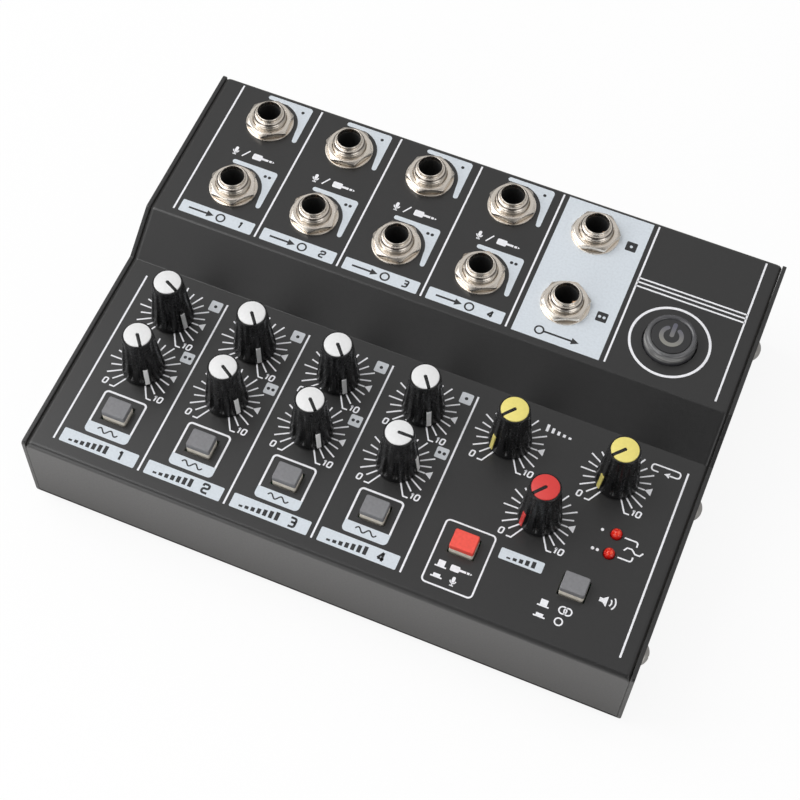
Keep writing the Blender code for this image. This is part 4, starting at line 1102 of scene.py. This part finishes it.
smoke = finish_of("smoke_plastic", SMOKE_DARK, 0.2, {"Coat Weight": 0.4, "Coat Roughness": 0.08})
level = position(smoke, "Z")
# painted light: a band low on the wall is coloured lighter, in streaks and brightest towards the front and left, where
# daylight would gather
painted_gathered_light = product(smoke, spread(smoke, level, 0.6 * MM, 1.7 * MM), spread(smoke, level, 2.2 * MM, 3.3 * MM, 1.0, 0.25))
painted_front_light = product(smoke, spread(smoke, position(smoke, "Y"), -0.9 * BUTTON_RADIUS, 0.5 * BUTTON_RADIUS, 1.0, 0.25),
                     spread(smoke, position(smoke, "X"), -BUTTON_RADIUS, BUTTON_RADIUS, 1.0, 0.5))
painted_light_streaks = smoke.node_tree.nodes.new("ShaderNodeTexNoise")
painted_light_streaks.inputs["Scale"].default_value = 1700.0
smoke.node_tree.links.new(stretched(smoke, (0.12, 0.12, 1.0)), painted_light_streaks.inputs["Vector"])
painted_gathered_light = product(smoke, painted_gathered_light, spread(smoke, painted_light_streaks.outputs["Fac"], 0.38, 0.62, 0.3, 1.0))
shade_between(smoke, product(smoke, painted_gathered_light, painted_front_light), SMOKE_DARK, SMOKE_PAINTED_GLOW)
roughen(smoke, grain(smoke, 600.0), 0.15, 0.26)
disc_print = finish_of("disc_print", (0.028, 0.028, 0.029), 0.35)
roughen(disc_print, grain(disc_print, 1500.0), 0.3, 0.42)
on_sign_clear = finish_of("on_sign_clear", (0.16, 0.155, 0.14), 0.3)
# painted light: the sign is coloured lighter and warmer towards the front and darker towards the rear
shade_between(on_sign_clear, spread(on_sign_clear, position(on_sign_clear, "Y"), -2.5 * MM, 3.5 * MM),
              (0.24, 0.235, 0.21), (0.11, 0.11, 0.14))
x, y, _, _ = middle("power_button")
power_place = (x, y, jack_deck)
ring_profile = softened([(0.0, -5.9 * MM), (3.0 * MM, -5.9 * MM), (3.0 * MM, -3.0 * MM), (BUTTON_FLARE, -3.0 * MM),
                         (BUTTON_FLARE, 0.2 * MM), (BUTTON_RADIUS, 2.5 * MM), (BUTTON_RADIUS - 0.3 * MM, 3.35 * MM),
                         (6.5 * MM, BUTTON_TOP), (DISC_RADIUS + 0.25 * MM, DISC_TOP + 0.1 * MM),
                         (DISC_RADIUS + 0.1 * MM, DISC_TOP - 0.5 * MM), (0.0, DISC_TOP - 0.5 * MM)], 0.6 * MM, 6)
rim_piece = put("power_rim", mesh_of("power_rim", turned(ring_profile, 96), smoke, 50.0), power_place)
ride_on(rim_piece, "power_button", ["power_button"])
disc_profile = softened([(0.0, DISC_TOP - 0.45 * MM), (DISC_RADIUS, DISC_TOP - 0.45 * MM), (DISC_RADIUS, DISC_TOP),
                         (0.0, DISC_TOP)], 0.1 * MM)
disc_piece = put("power_disc_print", mesh_of("power_disc_print", turned(disc_profile, 96), disc_print), power_place)
ride_on(disc_piece, "power_button", ["power_disc"])
SIGN_RADIUS, SIGN_HALF, SIGN_GAP = 2.85, 0.62, 36.0
sign = bmesh.new()
left_end, right_end = (polar((0, 0), SIGN_RADIUS, 90 + SIGN_GAP), polar((0, 0), SIGN_RADIUS, 90 - SIGN_GAP))
area(sign, arc((0, 0), SIGN_RADIUS + SIGN_HALF, 90 + SIGN_GAP, 450 - SIGN_GAP, 48) +
     arc(right_end, SIGN_HALF, 90 - SIGN_GAP, 270 - SIGN_GAP, 8)[1:-1] +
     arc((0, 0), SIGN_RADIUS - SIGN_HALF, 450 - SIGN_GAP, 90 + SIGN_GAP, 48) +
     arc(left_end, SIGN_HALF, 270 + SIGN_GAP, 450 + SIGN_GAP, 8)[1:-1], 0.04)
area(sign, arc((0, 3.9), SIGN_HALF, 0, 180, 8) + arc((0, 0.3), SIGN_HALF, 180, 360, 8), 0.04)
sign_piece = put("power_sign", mesh_of("power_sign", sign, on_sign_clear), (x, y, jack_deck + DISC_TOP))
ride_on(sign_piece, "power_button")

# Side screws
# Six nickel-plated dome-head screws with a cross recess hold the side walls to the cover's flanges, three on each
# side.
SCREW_HEAD = 2.85 * MM
SCREW_RISE = 1.25 * MM
screw_steel = finish_of("screw_steel", (0.62, 0.60, 0.57), 0.35, {"Metallic": 1.0})
roughen(screw_steel, grain(screw_steel, 2500.0), 0.28, 0.42)
SCREW_DROP = 8.0 * MM
rear_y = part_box("top_cover")[1].y
slope_foot = front_y + 67.4 * MM
screw_spots = [(front_y + 11.3 * MM, control_deck - SCREW_DROP), (slope_foot - 9.9 * MM, control_deck - SCREW_DROP),
               (rear_y - 26.0 * MM, jack_deck - SCREW_DROP)]


def dome_head():
    """Domed head along +Z on a short shank."""
    bow = (SCREW_HEAD ** 2 + SCREW_RISE ** 2) / (2 * SCREW_RISE)
    rim = math.asin(SCREW_HEAD / bow)
    head = [(0.0, -2.0 * MM), (1.4 * MM, -2.0 * MM), (1.4 * MM, 0.0), (SCREW_HEAD, 0.0)]
    for k in range(1, 10):
        lean = rim * (1 - k / 10)
        head.append((bow * math.sin(lean), bow * math.cos(lean) - bow + SCREW_RISE))
    head.append((0.0, SCREW_RISE))
    return turned(head, 48)


def cross_cutter():
    """Cross-shaped cutter for the recess."""
    shape = bmesh.new()
    arm, half, low, high = 1.3 * MM, 0.28 * MM, 0.4 * MM, 2.0 * MM
    outline = [(half, half), (half, arm), (-half, arm), (-half, half), (-arm, half), (-arm, -half), (-half, -half),
               (-half, -arm), (half, -arm), (half, -half), (arm, -half), (arm, half)]
    top = [shape.verts.new((x, y, high)) for x, y in outline]
    bottom = [shape.verts.new((x * 0.6, y * 0.8, low)) for x, y in outline]
    shape.faces.new(top)
    shape.faces.new(bottom[::-1])
    for i in range(len(outline)):
        j = (i + 1) % len(outline)
        shape.faces.new((bottom[i], bottom[j], top[j], top[i]))
    return shape


blank = put("screw_blank", mesh_of("screw_blank", dome_head(), screw_steel))
cutter = put("screw_cutter", mesh_of("screw_cutter", cross_cutter(), screw_steel))
recess = blank.modifiers.new("recess", "BOOLEAN")
recess.operation = "DIFFERENCE"
recess.solver = "EXACT"
recess.object = cutter
bpy.context.view_layer.update()
screw_mesh = bpy.data.meshes.new_from_object(blank.evaluated_get(bpy.context.evaluated_depsgraph_get()))
screw_mesh.set_sharp_from_angle(angle=math.radians(40))
for scrap in (blank, cutter):
    bpy.data.objects.remove(scrap, do_unlink=True)
side_x = {"left": cad_box[0][0], "right": cad_box[1][0]}
for side, wall_x in side_x.items():
    for k, (y, z) in enumerate(screw_spots):
        screw = put(f"screw_{side}_{k + 1}", screw_mesh, (wall_x, y, z))
        screw.rotation_mode = "ZYX"
        screw.rotation_euler = (0.0, math.radians(90 if side == "right" else -90), math.radians(20 + 35 * k))
        ride_on(screw, "console")

# Floor, light and camera
# A plain white floor in a soft white studio: one large panel overhead, brighter walls behind and to the left, and
# darkness low down all round. The camera looks down from the front right, as the photograph does.
white = finish_of("white_floor", (0.94, 0.94, 0.94), 0.9, {"Specular IOR Level": 0.1})
tree = white.node_tree
spot = tree.nodes.new("ShaderNodeNewGeometry")
split = tree.nodes.new("ShaderNodeSeparateXYZ")
tree.links.new(spot.outputs["Position"], split.inputs["Vector"])
# painted shade: for reflected rays the floor turns darker towards the front wall and a little towards the right, as the
# console's shadow would
lit = product(white, spread(white, split.outputs["Y"], front_y - 0.014, front_y, 1.0, 0.1),
              spread(white, split.outputs["X"], -0.04, 0.1, 1.0, 0.75))
shaded = spread(white, lit, 0.0, 1.0, 1.0, 0.0)
path = tree.nodes.new("ShaderNodeLightPath")
seen = spread(white, path.outputs["Is Camera Ray"], 0.0, 1.0, 0.0, 0.9)
share = tree.nodes.new("ShaderNodeMath")
share.operation = "MAXIMUM"
tree.links.new(seen, share.inputs[0])
tree.links.new(product(white, shaded, path.outputs["Is Glossy Ray"]), share.inputs[1])
glow = tree.nodes.new("ShaderNodeEmission")
glow.inputs["Color"].default_value = (1.0, 1.0, 1.0, 1.0)
tree.links.new(spread(white, path.outputs["Is Camera Ray"], 0.0, 1.0, 0.3, 1.0), glow.inputs["Strength"])
mixer = tree.nodes.new("ShaderNodeMixShader")
tree.links.new(share.outputs["Value"], mixer.inputs["Fac"])
tree.links.new(tree.nodes["Principled BSDF"].outputs["BSDF"], mixer.inputs[1])
tree.links.new(glow.outputs["Emission"], mixer.inputs[2])
tree.links.new(mixer.outputs["Shader"], tree.nodes["Material Output"].inputs["Surface"])
sheet = bmesh.new()
bmesh.ops.create_grid(sheet, x_segments=1, y_segments=1, size=6.0)
floor_mesh = bpy.data.meshes.new("floor")
sheet.to_mesh(floor_mesh)
sheet.free()
floor_mesh.materials.append(white)
floor = put("floor", floor_mesh)

world = bpy.data.worlds.new("studio")
bpy.context.scene.world = world
world.use_nodes = True
tree = world.node_tree
background = tree.nodes["Background"]
way = tree.nodes.new("ShaderNodeTexCoord")
split = tree.nodes.new("ShaderNodeSeparateXYZ")
tree.links.new(way.outputs["Generated"], split.inputs["Vector"])


def either(finish, factor, first, second):
    """Mix of two strengths, each a number or a socket."""
    tree = finish.node_tree
    blend = tree.nodes.new("ShaderNodeMix")
    blend.data_type = "FLOAT"
    tree.links.new(factor, blend.inputs["Factor"])
    for socket, value in (("A", first), ("B", second)):
        if isinstance(value, float):
            blend.inputs[socket].default_value = value
        else:
            tree.links.new(value, blend.inputs[socket])
    return blend.outputs["Result"]


before = spread(world, split.outputs["X"], -0.34, -0.02, 0.45, 0.03)
room = either(world, spread(world, split.outputs["Y"], -0.55, 0.1), before, 0.55)
room = product(world, room, spread(world, split.outputs["Z"], 0.05, 0.55, 0.25, 1.0))
path = tree.nodes.new("ShaderNodeLightPath")
tree.links.new(either(world, path.outputs["Is Camera Ray"], room, 1.0), background.inputs["Strength"])
background.inputs["Color"].default_value = (1.0, 1.0, 1.0, 1.0)


def softbox(name, place, size, power):
    """Square soft light aimed at the middle of the console."""
    lamp = bpy.data.lights.new(name, "AREA")
    lamp.shape = "SQUARE"
    lamp.size = size
    lamp.energy = power
    light = bpy.data.objects.new(name, lamp)
    bpy.context.scene.collection.objects.link(light)
    light.location = place
    aim = Vector((0.0, 0.0, 0.03)) - Vector(place)
    light.rotation_euler = aim.to_track_quat("-Z", "Y").to_euler()
    return light


softbox("overhead_light", (-0.1, -0.18, 1.5), 1.0, 5.6).visible_glossy = False
softbox("left_light", (-1.05, -0.1, 1.3), 1.2, 13.5)
softbox("front_light", (-0.7, -1.4, 0.4), 1.0, 6.5)
softbox("right_light", (1.4, -0.8, 0.4), 1.0, 5.0)

CAMERA_PLACE = (0.08746, front_y - 0.17985, 0.4734)
CAMERA_YAW, CAMERA_PITCH, CAMERA_ROLL = math.radians(-21.860), math.radians(60.297), math.radians(-1.058)
forward = Vector((math.sin(CAMERA_YAW) * math.cos(CAMERA_PITCH), math.cos(CAMERA_YAW) * math.cos(CAMERA_PITCH),
                  -math.sin(CAMERA_PITCH)))
right = Vector((math.cos(CAMERA_YAW), -math.sin(CAMERA_YAW), 0.0))
down = forward.cross(right)
level_right = right * math.cos(CAMERA_ROLL) + down * math.sin(CAMERA_ROLL)
level_down = down * math.cos(CAMERA_ROLL) - right * math.sin(CAMERA_ROLL)
lens = bpy.data.cameras.new("camera")
lens.lens = 80.92
lens.sensor_width = 36.0
lens.shift_x = 0.0334
lens.shift_y = -0.0124
lens.clip_start = 0.01
camera = bpy.data.objects.new("camera", lens)
bpy.context.scene.collection.objects.link(camera)
camera.matrix_world = Matrix.Translation(CAMERA_PLACE) @ Matrix(
    (level_right, -level_down, -forward)).transposed().to_4x4()
bpy.context.scene.camera = camera
bpy.context.scene.view_settings.view_transform = "Standard"
